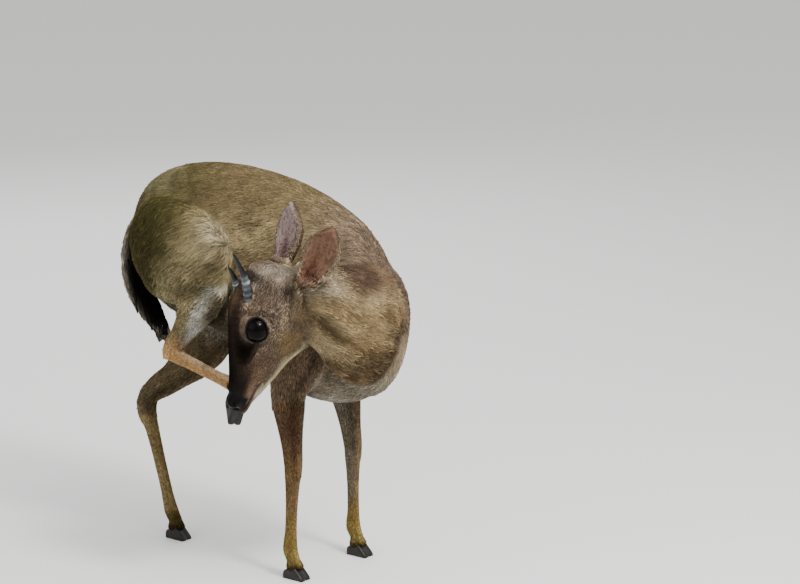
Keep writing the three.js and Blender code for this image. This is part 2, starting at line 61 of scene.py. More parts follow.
MUZZLE_TIP = np.array([107.0, -119.0, 187.0])
SKIN_STEP = 1.6 * MM

head_back = -HEAD_DOWN / np.linalg.norm(HEAD_DOWN)
head_side = HEAD_LEFT - head_back * (HEAD_LEFT @ head_back)
head_side /= np.linalg.norm(head_side)
head_face = np.cross(head_side, head_back)
HEAD_AXES = np.array([head_back, head_side, head_face])


def middle_of(node):
    low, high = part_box(node)
    return np.array((low + high) / 2) / MM


# Design places are in millimetres. The eye ball tells how far the row frame lies from them.
eye_middle = MUZZLE_TIP + np.array(EYE_PLACE) @ HEAD_AXES
SHIFT = middle_of("eye_left") - eye_middle


def in_row(points):
    return (np.asarray(points, float) + SHIFT) * MM


def in_design(points):
    return np.asarray(points, float) / MM - SHIFT


def on_head(back, left, face):
    return MUZZLE_TIP + np.array([back, left, face]) @ HEAD_AXES


def head_places(design):
    return (design - MUZZLE_TIP) @ HEAD_AXES.T


def unit(v):
    v = np.asarray(v, float)
    return v / np.maximum(np.linalg.norm(v, axis=-1, keepdims=True), 1e-9)


def rise(low, high, x):
    t = np.clip((np.asarray(x, float) - low) / (high - low), 0, 1)
    return t * t * (3 - 2 * t)


def hill(x, width):
    return np.exp(-(np.asarray(x, float) / width) ** 2)


def mirrored(place, side):
    """A place or way of the head's left side, or its mirror image on the right side."""
    return np.array([place[0], side * place[1], place[2]])


def eye_frame(side):
    """The middle of an eye, its way out, and the long and the short way of its lids."""
    out = unit(mirrored(EYE_OUT, side))
    along = unit(EYE_ALONG - out * (EYE_ALONG @ out))
    return mirrored(EYE_PLACE, side), out, along, np.cross(out, along)


def taken(items, field, width, kind):
    """A field of all items of a mesh, as rows of width numbers."""
    values = np.empty(len(items) * width, kind)
    items.foreach_get(field, values)
    return values.reshape(-1, width)


def points_of(mesh):
    return taken(mesh.vertices, "co", 3, np.float32).astype(float)


def normals_of(mesh):
    mesh.update()
    return taken(mesh.vertex_normals, "vector", 3, np.float32).astype(float)


def set_points(mesh, co):
    mesh.vertices.foreach_set("co", co.astype(np.float32).ravel())
    mesh.update()


def edges_of(mesh):
    return taken(mesh.edges, "vertices", 2, np.int32)


def evened(values, edges, share, rounds):
    """Each value moves towards the mean of its neighbours, by share, for some rounds."""
    values = values.copy()
    count = np.bincount(edges.ravel(), minlength=len(values)).astype(float)
    share = np.broadcast_to(share, (len(values),))[:, None]
    flat = values.reshape(len(values), -1)
    for _ in range(rounds):
        total = np.zeros_like(flat)
        for column in range(flat.shape[1]):
            a = np.bincount(edges[:, 0], flat[edges[:, 1], column], len(flat))
            b = np.bincount(edges[:, 1], flat[edges[:, 0], column], len(flat))
            total[:, column] = a + b
        flat = flat + (total / count[:, None] - flat) * share
    return flat.reshape(values.shape)


def new_object(label, data):
    made = bpy.data.objects.new(label, data)
    bpy.context.scene.collection.objects.link(made)
    return made


def applied(made):
    """The mesh that an object has with its modifiers applied."""
    bpy.context.view_layer.update()
    return bpy.data.meshes.new_from_object(made.evaluated_get(bpy.context.evaluated_depsgraph_get()))


def voxelled(mesh, size):
    """One closed surface round a mesh of forms that cross each other."""
    source = new_object("spare", mesh)
    remesh = source.modifiers.new("remesh", "REMESH")
    remesh.mode = "VOXEL"
    remesh.voxel_size = size
    made = applied(source)
    bpy.data.objects.remove(source)
    return made


def tree_of(mesh):
    """A search tree over the faces of a mesh."""
    faces = [tuple(face.vertices) for face in mesh.polygons]
    return BVHTree.FromPolygons([tuple(p) for p in points_of(mesh)], faces)


def flesh_copy(node, grow=0.0):
    """A node's solid with its shared corners joined, grown outwards by some millimetres."""
    bm = bmesh.new()
    bm.from_mesh(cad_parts[node].data)
    bmesh.ops.remove_doubles(bm, verts=bm.verts, dist=0.00001)
    bmesh.ops.recalc_face_normals(bm, faces=bm.faces)
    bm.normal_update()
    for vertex in bm.verts:
        vertex.co += vertex.normal * grow * MM
    return bm


def ball(centre, axes, radii):
    bm = bmesh.new()
    bmesh.ops.create_uvsphere(bm, u_segments=24, v_segments=16, radius=1)
    for vertex in bm.verts:
        out = np.array(vertex.co) * radii
        vertex.co = Vector(in_row(centre + out @ axes))
    return bm


def joined_mesh(label, parts):
    whole = bmesh.new()
    for part in parts:
        spare = bpy.data.meshes.new("spare")
        part.to_mesh(spare)
        whole.from_mesh(spare)
        bpy.data.meshes.remove(spare)
        part.free()
    mesh = bpy.data.meshes.new(label)
    whole.to_mesh(mesh)
    whole.free()
    return mesh


def largest_island(mesh):
    """Keeps only the largest connected surface of a mesh."""
    edges = edges_of(mesh)
    label = np.arange(len(mesh.vertices))
    while True:
        low = np.minimum(label[edges[:, 0]], label[edges[:, 1]])
        before = label.copy()
        np.minimum.at(label, edges[:, 0], low)
        np.minimum.at(label, edges[:, 1], low)
        label = label[label]
        if np.array_equal(before, label):
            break
    keep = np.bincount(label).argmax()
    bm = bmesh.new()
    bm.from_mesh(mesh)
    bm.verts.ensure_lookup_table()
    loose = [bm.verts[i] for i in np.flatnonzero(label != keep)]
    bmesh.ops.delete(bm, geom=loose, context="VERTS")
    bm.to_mesh(mesh)
    bm.free()


LEGS = ["fore_left", "fore_right", "hind_left", "hind_right"]
TRUNK_NODES = ["torso_rear", "torso_front", "neck_base", "neck_top"]
FLESH = TRUNK_NODES + ["head", "nose", "tail", "ear_left", "ear_right"]
for leg in LEGS:
    lengths = ["upper_arm_", "forearm_"] if "fore" in leg else ["thigh_", "shank_"]
    FLESH += [length + leg for length in lengths + ["cannon_", "pastern_"]]

# The solids' gaps, the sockets of eyes and horns and the slit of the mouth are filled first,
# by balls that have a place on the head and three radii.
PAIRED_FILLS = [
    (EYE_PLACE, (EYE_RADIUS, EYE_RADIUS, EYE_RADIUS)),
    ((95, 12, 18), (7, 6.5, 6.5)),
    ((52, 14.5, 5), (9, 4, 4)),
]
MIDDLE_FILLS = [((8, 0, -7), (18, 9, 5)), ((8, 0, 1), (12, 7.5, 8))]
ANKLE_RADII = (8.5, 8.5, 6)
parts = [flesh_copy(node, 0.6 if node.startswith("ear") else 0.25) for node in FLESH]
face_node = [i for i, part in enumerate(parts) for _ in part.faces]
for side in (1, -1):
    parts += [ball(on_head(*mirrored(at, side)), HEAD_AXES, radii) for at, radii in PAIRED_FILLS]
parts += [ball(on_head(*at), HEAD_AXES, radii) for at, radii in MIDDLE_FILLS]
fill_names = ["head"] * (sum(len(part.faces) for part in parts) - len(face_node))
for leg in LEGS:
    toes = (middle_of("hoof_" + leg + "_outer") + middle_of("hoof_" + leg + "_inner")) / 2 - SHIFT
    ankle = middle_of("pastern_" + leg) - SHIFT
    part = ball(toes + unit(ankle - toes) * 6, np.eye(3), ANKLE_RADII)
    fill_names += ["pastern_" + leg] * len(part.faces)
    parts.append(part)
flesh_mesh = joined_mesh("flesh", parts)
skin_mesh = voxelled(flesh_mesh, SKIN_STEP)
largest_island(skin_mesh)
flesh_tree = tree_of(flesh_mesh)
bpy.data.meshes.remove(flesh_mesh)
face_name = [FLESH[i] for i in face_node] + fill_names


def names_near(co):
    """The flesh node that lies nearest to each point."""
    return np.array([face_name[flesh_tree.find_nearest(p)[2]] for p in co])


def among(names, *starts):
    return np.char.startswith(names, starts[0]) | (among(names, *starts[1:]) if starts[1:] else False)


# Where two forms meet, flesh is rounded into one another: widely on the trunk, little on the
# lean legs, the face and the ears.
name = names_near(points_of(skin_mesh))
edges = edges_of(skin_mesh)
soft = np.full(len(name), 0.5)
soft[among(name, "forearm", "shank", "neck_top")] = 0.2
soft[among(name, "cannon", "pastern")] = 0.06
soft[among(name, "head", "nose", "tail")] = 0.07
soft[among(name, "ear")] = 0.03
soft = evened(soft, edges, 0.5, 6)
set_points(skin_mesh, evened(points_of(skin_mesh), edges, soft, 60))

# Fewer faces on the body, all of them kept on head and ears.
FACES_KEPT = 0.56
skin = new_object("skin", skin_mesh)
body = skin.vertex_groups.new(name="body")
body.add([int(i) for i in np.flatnonzero(~among(name, "head", "nose", "ear"))], 1.0, "REPLACE")
thin = skin.modifiers.new("thin", "DECIMATE")
thin.ratio = FACES_KEPT
thin.vertex_group = "body"
fewer = applied(skin)
skin.modifiers.clear()
skin.vertex_groups.clear()
skin.data = fewer
bpy.data.meshes.remove(skin_mesh)
skin_mesh = fewer
skin_mesh.name = "skin"

# Finer faces round the eyes, the glands, the nose and the mouth.
bm = bmesh.new()
bm.from_mesh(skin_mesh)
place = head_places(in_design([v.co for v in bm.verts]))
eye_far = np.linalg.norm(np.abs(place) * [0, 1, 0] + place * [1, 0, 1] - EYE_PLACE, axis=1)
near = (eye_far < 17) | ((place[:, 0] < 28) & (np.abs(place[:, 1]) < 20) & (np.abs(place[:, 2]) < 25))
bm.verts.ensure_lookup_table()
chosen = [e for e in bm.edges if near[e.verts[0].index] and near[e.verts[1].index]]
bmesh.ops.subdivide_edges(bm, edges=chosen, cuts=1, use_grid_fill=True)
bmesh.ops.triangulate(bm, faces=bm.faces)
bm.to_mesh(skin_mesh)
bm.free()

edges = edges_of(skin_mesh)
co = points_of(skin_mesh)
name = names_near(co)
design = in_design(co)
place = head_places(design)
on_face = among(name, "head", "nose")


def spread(pairs, start):
    """A value for each vertex from the node it lies near, evened over the seams."""
    values = np.full(len(name), float(start))
    for starts, value in pairs:
        values[among(name, *starts)] = value
    return evened(values, edges, 0.5, 8)


# The skin lies a coat's depth inside the flesh.
depth = spread([
    (["upper_arm"], 2.4), (["forearm", "shank"], 1.6), (["cannon", "pastern"], 0.9),
    (["neck_top"], 2.8), (["head"], 1.0), (["nose"], 0.0), (["ear"], 0.35), (["tail"], 2.2),
], 3.6)
depth *= 1 - 0.8 * rise(24, 6, place[:, 0]) * on_face
normal = normals_of(skin_mesh)
design = design - normal * depth[:, None]

# Lids: the skin is laid round each eye ball and ends at an almond-shaped gap.
EYE_GAP_LONG = math.radians(71)
EYE_GAP_HIGH = math.radians(50)
LID = 1.0
eye_ring = np.zeros(len(name))
lid_margin = np.zeros(len(name))
place = head_places(design)
back, left, face = place.T
for side in (1, -1):
    middle, out, along, across = eye_frame(side)
    way = place - middle
    far = np.linalg.norm(way, axis=1)
    u = way / far[:, None]
    turn = np.arccos(np.clip(u @ out, -1, 1))
    a = np.arctan2(u @ across, u @ along)
    gap = 1 / np.sqrt((np.cos(a) / EYE_GAP_LONG) ** 2 + (np.sin(a) / EYE_GAP_HIGH) ** 2)
    beyond = np.degrees(turn - gap)
    lid_at = EYE_RADIUS + LID * (0.55 + 0.45 * rise(0, 6, beyond)) + 0.9 * hill(beyond - 14, 9)
    inside = 0.78 * EYE_RADIUS
    wanted = np.where(beyond < -1.5, inside, lid_at)
    share = 1 - rise(12, 40, beyond)
    share[(far > 21) | (turn > 2.1) | ~on_face] = 0
    place += u * ((wanted - far) * share)[:, None]
    eye_ring = np.maximum(eye_ring, hill(beyond - 8, 13) * (share > 0))
    lid_margin = np.maximum(lid_margin, rise(9, 3, beyond) * (share > 0))

# The slit of the scent gland before the eye, in a low swelling.
gland = np.zeros(len(name))
face_normal = unit(normal @ HEAD_AXES.T)
for side in (1, -1):
    way = place - mirrored(GLAND_PLACE, side)
    way[:, 2] += 0.18 * way[:, 0]
    near = hill(way[:, 0], 7.5) * on_face * (left * side > 0)
    swollen = 0.9 * near * hill(way[:, 2], 4.5) - 1.9 * near * hill(way[:, 2], 1.1)
    place += face_normal * swollen[:, None]
    gland = np.maximum(gland, near * hill(way[:, 2], 1.6))

# The line of the mouth with a low lip on either side, and nostrils curled round a slit.
MOUTH_CORNER = (27.0, -11.5)
MOUTH_FRONT = (-6.0, -4.5)
slope = (MOUTH_CORNER[1] - MOUTH_FRONT[1]) / (MOUTH_CORNER[0] - MOUTH_FRONT[0])
mouth_face = MOUTH_FRONT[1] + slope * (back - MOUTH_FRONT[0])
from_mouth = face - mouth_face
mouth_share = rise(MOUTH_CORNER[0] + 1, MOUTH_CORNER[0] - 5, back) * on_face
lips = 0.7 * hill(from_mouth - 2.0, 1.4) + 0.9 * hill(from_mouth + 2.2, 1.6)
place += face_normal * (mouth_share * (lips - 1.7 * hill(from_mouth, 0.85)))[:, None]
mouth_line = mouth_share * hill(from_mouth, 1.1)
lip = mouth_share * np.maximum(hill(from_mouth - 1.6, 1.6), hill(from_mouth + 2.0, 2.4))
nostril = np.zeros(len(name))
for side in (1, -1):
    way = place - mirrored(NOSTRIL_PLACE, side)
    bend = way[:, 1] * side + 0.09 * way[:, 2] ** 2
    slit = hill(bend, 1.5) * hill(way[:, 2] - 0.4, 3.4) * hill(way[:, 0], 6) * on_face
    rim = hill(bend - 2.8, 1.5) * hill(way[:, 2], 4.2) * hill(way[:, 0], 6) * on_face
    place += face_normal * (0.8 * rim - 3.0 * slit)[:, None]
    nostril = np.maximum(nostril, slit)
philtrum = -0.7 * hill(left, 0.9) * rise(9, 4, back) * (face > -4) * on_face
place += face_normal * philtrum[:, None]

# Bone under the skin of the face: brow, cheek bone, the hollow before it and the jaw.
brow = hill(back - 88, 11) * hill(np.abs(left) - 17, 5) * hill(face - 21, 5)
cheek = hill(back - 60, 10) * hill(face + 6, 6) * (np.abs(left) > 9)
jaw = hill(back - 66, 22) * hill(face + 22, 6) * (np.abs(left) > 6)
hollow = hill(back - 40, 12) * hill(face - 2, 6) * (np.abs(left) > 8)
place += face_normal * ((1.3 * brow + 0.9 * cheek + 1.1 * jaw - 1.0 * hollow) * on_face)[:, None]
design = MUZZLE_TIP + place @ HEAD_AXES
set_points(skin_mesh, in_row(design))


# Markings: the colours of hide and hair over the body, with some painted shade and highlights, told
# from the place on the animal.
def colour(code):
    """The linear colour of a hexadecimal display code."""
    value = np.array([int(code[i:i + 2], 16) for i in (0, 2, 4)]) / 255
    return np.where(value <= 0.04045, value / 12.92, ((value + 0.055) / 1.055) ** 2.4)


def dye(code, share):
    """Lays a display colour over the coat where its share is high."""
    share = np.clip(share, 0, 1)[:, None]
    coat[:] = coat * (1 - share) + colour(code) * share


def dye_part(part, *marks):
    """Lays several colours over one part of the animal."""
    for code, share in marks:
        dye(code, part * share)


def on_node(start):
    """1 where the skin lies near a node whose name starts so, 0 elsewhere."""
    return among(name, start).astype(float)


normal = normals_of(skin_mesh)
is_trunk = on_node("torso")
lifted_thigh = on_node("thigh_hind_right")
standing_thigh = on_node("thigh_hind_left")
lifted_shank = on_node("shank_hind_right")
standing_shank = on_node("shank_hind_left")
is_neck = on_node("neck")
is_head = evened(on_face.astype(float), edges, 0.5, 12)
is_ear = on_node("ear")
is_tail = on_node("tail")
is_arm = on_node("upper_arm")
is_forearm = on_node("forearm")
is_cannon = on_node("cannon")
is_pastern = on_node("pastern")
x, y, z = design.T
aside = np.abs(left)
inward = np.where(y > 0, -normal[:, 1], normal[:, 1])

BACK_FUR = "786848"
RUMP_FUR = "665d3b"
FLANK_FUR = "cab488"
SHOULDER_FUR = "786555"
NECK_FUR = "e4ca9a"
BELLY_FUR = "c9c0ae"
LEG_FUR = "8d7350"
FAWN_FUR = "deb279"

coat = np.tile(colour(BACK_FUR), (len(name), 1))
dye(FLANK_FUR, rise(364, 305, z) * rise(-20, 45, x))
dye(SHOULDER_FUR, rise(95, 160, x) * 0.85)
dye(RUMP_FUR, rise(20, -35, x) * 0.9)
# Painted highlight: a paler top of the rump.
dye("8c8563", is_trunk * rise(-25, -75, x) * rise(328, 356, z) * 0.65)
dye("b8a88a", rise(262, 232, z) * 0.7)
dye(BELLY_FUR, rise(-0.35, -0.8, normal[:, 2]) * rise(262, 235, z))
# Painted shade: darker low on the right side of the belly, behind the shoulder.
dye("5f543f", is_trunk * rise(0, -25, y) * rise(80, 60, x) * rise(288, 262, z) * 0.85)
dye_part(
    lifted_thigh,
    ("474223", rise(16, -28, x) * 0.9),
    ("7b6e48", rise(-20, 14, x) * 0.8),
    # Pale hairs at the front of the thigh, with a painted sheen laid over them.
    ("a59b85", hill(x - 30, 16) * hill(z - 328, 28) * 0.55),
    ("bcad80", rise(306, 280, z) * rise(-50, -20, x) * 0.85),
    ("b5a67d", hill(x - 8, 22) * hill(z - 302, 22) * 0.75),
    # Painted shadow along the thigh's front edge, where it meets the flank.
    ("5f5338", rise(36, 44, x) * 0.8),
    ("3f3a1e", hill(x + 45, 24) * hill(z - 292, 26) * 0.6),
)
dye(RUMP_FUR, standing_thigh * 0.5)
dye("8b7a58", standing_thigh * rise(318, 272, z) * 0.85)
dye(BELLY_FUR, standing_thigh * rise(0.2, 0.7, inward) * 0.85)
dye("8f8163", lifted_thigh * rise(0.2, 0.7, inward) * 0.8)

# The lifted leg is fawn from the hock down, with a white line along the front of its shank.
dye("9c8c62", lifted_shank * 0.9)
dye(FAWN_FUR, lifted_shank * rise(222, 202, z))
line_off = (x - 33) * 0.802 - (z - 277) * 0.598
line_on = rise(284, 272, z) * rise(196, 208, z) * (y < -30) * (lifted_shank + lifted_thigh)
# Painted shade: a dark band beside the white line, on its forward side towards the belly.
dye("3b3120", line_on * rise(3, 9, line_off) * 0.75)
dye("fbf6ea", line_on * hill(line_off, 4.5))
dye("7a6746", standing_shank * 0.9)
dye("857759", standing_shank * rise(0.15, 0.75, -normal[:, 1]) * 0.6)
hind = (x < 90) & (z < 215)
dye(LEG_FUR, is_cannon)
dye(FAWN_FUR, is_cannon * hind * (z > 150))
dye("e0c9a4", is_cannon * hind * (z > 150) * rise(0.3, 0.85, normal[:, 2]) * 0.75)
dye("9a865c", is_cannon * hind * (z < 150))
dye("7a6450", is_arm * 0.9)
dye("7b6047", is_forearm)
dye("8a7048", is_forearm * rise(135, 108, z) * 0.8)
fore = (x > 90) & (z < 215) & ~on_face
inner_fore = (is_arm + is_forearm + is_cannon) * fore * rise(0.05, 0.7, inward)
dye("8f8671", inner_fore * rise(38, 60, z) * 0.85)
dye("a08646", is_cannon * fore * rise(75, 35, z) * 0.8)
dye_part(
    is_pastern,
    ("aa9556", 1),
    ("3f3014", hind * 0.75),
    ("2e2416", rise(17, 13, z) * (z < 30)),
    ("3a2d1c", (z > 100) * 0.75),
)

# Neck and chest: sandy with brown streaks down the throat, a pale patch low on the chest, painted
# shade low on the neck and a painted shadow in the fold below the jaw.
throat_streaks = hill(np.sin(z * 0.16 + x * 0.11 + y * 0.05) - 1, 0.45)
# A painted shadow in the fold below the jaw, along a slanting line on the right side of the neck.
fold_shadow = (y < -60) * hill(x - (179 + 0.45 * (276 - z)), 4.5)
dye_part(
    is_neck,
    (NECK_FUR, 1),
    ("b3a58e", rise(280, 300, z) * rise(-60, -76, y) * 0.9),
    ("524033", rise(274, 298, z) * rise(-76, -56, y)),
    ("806b50", rise(-38, -12, y) * 0.8),
    ("8f6c42", throat_streaks * rise(285, 262, z) * 0.5),
    # Painted shade: darker low on the neck, towards the chest.
    ("59452f", rise(248, 228, z) * 0.85),
    # Painted shadow along the fold below the jaw.
    ("2f2012", fold_shadow * rise(246, 254, z) * rise(282, 275, z) * 0.9),
)
dye("a89d88", is_trunk * rise(140, 160, x) * rise(215, 190, z))
dye(SHOULDER_FUR, is_trunk * rise(140, 165, x) * rise(228, 250, z) * 0.7)

# Tail: dark, with a pale fringe on its left and behind.
dye("120f0b", is_tail)
tail_fringe = np.maximum(rise(0.75, 0.95, normal[:, 1]), rise(0.1, 0.6, -normal[:, 0]))
dye("b5ab98", is_tail * tail_fringe * 0.9)
coat[:] = evened(coat, edges, 0.5, 7)

# Head: a dark blaze, pale bands round the eye, dark gland, sandy cheek and pale jaw line.
muzzle = rise(52, 20, back)
cheek_streak = hill(back - 95 - 0.1 * (face + 20), 14) * rise(-2, -16, face)
under = normal @ HEAD_AXES[2]
jaw_line = rise(-0.32, -0.52, under) * rise(98, 84, back) * rise(12, 22, back) * rise(-6, -11, face)
beside_blaze = hill(aside - 9, 6) * rise(4, 12, face)
dye_part(
    is_head,
    ("7b6a59", 1),
    ("877868", rise(92, 112, back) * 0.8),
    ("9a8c78", rise(108, 122, back) * rise(2, 14, left) * 0.7),
    ("c4b9a6", hill(back - 128, 8) * hill(left - 10, 10) * 0.9),
    ("e0c696", cheek_streak),
    ("8f6f4e", hill(aside - 3, 3.5) * hill(back - 95, 12) * (face > 0) * 0.8),
    ("a58a60", hill(face + 28, 13) * rise(40, 70, back) * 0.9),
    ("745d49", rise(58, 44, back) * rise(-24, -10, face) * 0.8),
    ("e2d8a8", jaw_line),
    ("4c362a", beside_blaze * rise(34, 52, back) * rise(104, 92, back) * 0.7),
    ("120b08", hill(aside, 9.5) * (face > 0) * rise(98, 70, back)),
    ("0c0806", hill(aside - 12, 6) * hill(back - 56, 17) * rise(4, 11, face)),
    ("0f0a08", muzzle * rise(-6, 4, face) * 0.95),
    ("59483c", hill(aside, 7) * rise(96, 110, back) * (face > 0) * 0.6),
)
for side in (1, -1):
    middle, out = eye_frame(side)[:2]
    way = place - middle
    turn = np.degrees(np.arccos(np.clip(unit(way) @ out, -1, 1)))
    above = (way[:, 2] * 0.8 + way[:, 0] * 0.45) / np.linalg.norm(way, axis=1)
    upper = rise(-0.35, 0.35, above)
    near = is_head * (left * side > 0)
    dye("98826e", near * hill(turn - 84, 7) * upper * 0.8)
    dye("3c2a22", near * hill(turn - 104, 9) * upper * 0.55)
    lower = 1 - rise(-0.2, 0.5, above)
    dye("85766a", near * hill(turn - 96, 14) * lower * rise(72, 84, back) * 0.6)
    streak = hill(way[:, 2] + 2 + 0.1 * way[:, 0], 4.2)
    streak = streak * rise(2, -8, way[:, 0]) * rise(-44, -30, way[:, 0])
    dye("1c1511", near * streak * 0.9)
    dye("2b2019", near * hill(back - 118, 8) * hill(aside - 25, 6) * hill(face + 10, 9) * 0.9)
dye("120d0b", np.maximum(is_head * gland, is_head * lid_margin))
dye("9a8766", is_head * rise(108, 122, back) * rise(-6, -24, face) * 0.7)
wet = np.clip(is_head * rise(12.5, 7.5, back) * rise(-6.5, -3, face), 0, 1)
dye("070505", wet)
dye("4d3a36", is_head * lip * (1 - wet) * 0.8)
dye("c9bda4", is_head * rise(26, 12, back) * rise(-7.5, -12, face) * 0.75)
dye("5d4640", is_head * rise(14, 6, back) * hill(face + 9.5, 2.6) * 0.7)
dye("0c0807", is_head * np.maximum(mouth_line, nostril))

# Ears: brown outside, bare mauve-pink skin inside with pale edges and ridges along the cup.
# Each has its root, its tip, the way it opens and the colour of its inside.
EARS = {
    1: ((124, 27, -22), (188, 48, -26), (-0.1, 0.7, 0.7), "735645"),
    -1: ((128, -22, -19), (189, -33, -20), (-0.1, 0.2, 0.97), "93807c"),
}
EAR_SHARES = [0, 0.16, 0.38, 0.62, 0.82, 0.95, 1.02]
EAR_HALF_WIDTHS = [9, 10.5, 16.5, 18, 12, 4.5, 0.5]
ear_inside = np.zeros(len(name))
ear_share = np.zeros(len(name))
ear_lie = np.zeros((len(name), 3))
ear_edge = np.zeros(len(name))
for side, (root, tip, opening, inner) in EARS.items():
    root = on_head(*root)
    way = on_head(*tip) - root
    length = np.linalg.norm(way)
    way /= length
    opening = unit(np.array(opening) @ HEAD_AXES)
    opening = unit(opening - way * (opening @ way))
    over = np.cross(way, opening)
    this = (name == ("ear_left" if side > 0 else "ear_right")).astype(float)
    share = (design - root) @ way / length
    beside = (design - root) @ over
    half = np.interp(share, EAR_SHARES, EAR_HALF_WIDTHS)
    rim = rise(0.74, 0.97, np.abs(beside) / half)
    inside = this * rise(-0.05, 0.3, normal @ opening) * rise(0.02, 0.2, share) * (1 - rim)
    ridge = hill(np.sin(beside * 0.62 + share * 2.2), 0.35)
    ridge = ridge * rise(0.15, 0.35, share) * rise(0.95, 0.7, share)
    design = design + opening * (0.5 * inside * ridge)[:, None]
    dye("6f5d49", this)
    dye("57483a", this * rise(0.7, 0.95, share))
    dye(inner, inside)
    dye("86705f", inside * ridge * 0.3)
    dye("54291c", inside * hill(beside + 3, 4) * rise(0.75, 0.3, share) * 0.6)
    dye("96866f", this * rim * rise(0.05, 0.3, normal @ opening + 0.3) * rise(0.95, 0.5, share))
    dye("2a1f19", inside * rise(0.1, 0.02, share) * 0.9)
    ear_inside = np.maximum(ear_inside, inside)
    ear_edge = np.maximum(ear_edge, this * rim)
    ear_share = np.maximum(ear_share, this * share)
    ear_lie += this[:, None] * way
set_points(skin_mesh, in_row(design))
skin_mesh.shade_smooth()


def write(mesh, label, kind, values):
    """Stores one value for each vertex under a name that materials and nodes read."""
    field = "value" if kind == "FLOAT" else "color" if kind == "FLOAT_COLOR" else "vector"
    if kind == "FLOAT_COLOR":
        values = np.column_stack([values, np.ones(len(values))])
    data = mesh.attributes.new(label, kind, "POINT").data
    data.foreach_set(field, np.ravel(values).astype(np.float32))


wet = np.maximum(wet, np.maximum(mouth_line, nostril))
write(skin_mesh, "coat", "FLOAT_COLOR", np.clip(coat, 0, 1))
write(skin_mesh, "wet", "FLOAT", wet)


def plug(tree, value, socket):
    """Links a socket to another one, or sets its value."""
    if isinstance(value, bpy.types.NodeSocket):
        tree.links.new(value, socket)
    else:
        socket.default_value = value


def new_node(tree, kind, inputs=(), **settings):
    """A node with its settings, and the sockets or values that its inputs take."""
    node = tree.nodes.new(kind)
    for key, value in settings.items():
        setattr(node, key, value)
    for key, value in dict(inputs).items():
        plug(tree, value, node.inputs[key])
    return node


def new_material(label):
    """A material, a function that adds one node to it, and one that sets what its surface has."""
    made = bpy.data.materials.new(label)
    made.use_nodes = True
    tree = made.node_tree

    def look(label, value):
        plug(tree, value, tree.nodes["Principled BSDF"].inputs[label])

    return made, partial(new_node, tree), look


def attribute(add, label, output="Fac"):
    return add("ShaderNodeAttribute", attribute_name=label).outputs[output]


def bumped(add, height, strength, distance, normal=None):
    inputs = {"Height": height, "Strength": strength, "Distance": distance}
    if normal is not None:
        inputs["Normal"] = normal
    return add("ShaderNodeBump", inputs).outputs["Normal"]


def own_place(add):
    return add("ShaderNodeTexCoord").outputs["Object"]


def noise(add, scale, detail):
    inputs = {"Vector": own_place(add), "Scale": scale, "Detail": detail}
    return add("ShaderNodeTexNoise", inputs).outputs["Fac"]


def ramp(add, value, stops):
    """A ramp of grey levels or display colours through the stops."""
    node = add("ShaderNodeValToRGB", {"Fac": value})
    line = node.color_ramp.elements
    while len(line) < len(stops):
        line.new(0.5)
    for element, (position, level) in zip(line, stops):
        element.position = position
        rgb = colour(level) if isinstance(level, str) else (level,) * 3
        element.color = (*rgb, 1)
    return node.outputs["Color"]


def tinted(add, first, second):
    """Two colours multiplied."""
    inputs = {0: 1.0, 6: first, 7: second}
    return add("ShaderNodeMix", inputs, data_type="RGBA", blend_type="MULTIPLY").outputs[2]


# Hide: coloured as the coat over it, pored, moist and grained on nose and lips.
hide, add, look = new_material("hide")
marks = attribute(add, "coat", "Color")
mottle = ramp(add, noise(add, 260.0, 4.0), [(0.3, 0.72), (0.7, 1.12)])
look("Base Color", tinted(add, marks, mottle))
look("Roughness", ramp(add, attribute(add, "wet"), [(0.0, 0.62), (1.0, 0.3)]))
grain = add("ShaderNodeTexVoronoi", {"Vector": own_place(add), "Scale": 900.0}).outputs["Distance"]
grained = bumped(add, grain, 0.35, 0.0003)
pores = bumped(add, noise(add, 1500.0, 3.0), 0.3, 0.0002, grained)
look("Normal", bumped(add, noise(add, 320.0, 5.0), 0.35, 0.0006, pores))
look("Specular IOR Level", 0.07)
skin_mesh.materials.append(hide)
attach(skin, "root")
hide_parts(*FLESH)

# Eyes
# Large dark eye balls, one under the lids of each side. Wet, clear cornea over a brown iris
# with a level, oblong pupil, set into the socket.
eye_stuff, add, look = new_material("eye")
IRIS_STOPS = [(0.0, "010101"), (0.42, "010101"), (0.5, "060302"), (0.78, "080403"), (0.86, "030202")]
iris = ramp(add, attribute(add, "iris"), IRIS_STOPS)
streaks = ramp(add, noise(add, 900.0, 2.0), [(0.3, 0.7), (0.7, 1.2)])
look("Base Color", tinted(add, iris, streaks))
look("Normal", bumped(add, noise(add, 120.0, 2.0), 0.02, 0.0002))
look("Roughness", 0.12)
look("Specular IOR Level", 0.0)
look("Coat Weight", 0.3)
look("Coat Roughness", 0.02)
look("Coat IOR", 1.33)
for side, label in ((1, "eye_left"), (-1, "eye_right")):
    middle, out, level = eye_frame(side)[:3]
    out, level = out @ HEAD_AXES, level @ HEAD_AXES
    upright = np.cross(out, level)
    bm = bmesh.new()
    bmesh.ops.create_uvsphere(bm, u_segments=72, v_segments=48, radius=1)
    mesh = bpy.data.meshes.new(label + "_ball")
    bm.to_mesh(mesh)
    bm.free()
    around = points_of(mesh)
    turn = np.arccos(np.clip(around[:, 2], -1, 1))
    bulge = EYE_RADIUS * (1 + 0.045 * hill(turn, 0.62))
    way = around[:, :1] * level + around[:, 1:2] * upright + around[:, 2:] * out
    set_points(mesh, in_row(on_head(*middle) + way * bulge[:, None]))
    wide = np.hypot(around[:, 0] / 0.72, around[:, 1] / 0.4)
    disc = np.clip(turn / 0.95, 0, 1)
    write(mesh, "iris", "FLOAT", np.where(wide < 0.62, 0.2, 0.45 + 0.5 * disc))
    mesh.shade_smooth()
    mesh.materials.append(eye_stuff)
    eye = new_object(label + "_ball", mesh)
    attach(eye, "root")
    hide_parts(label)

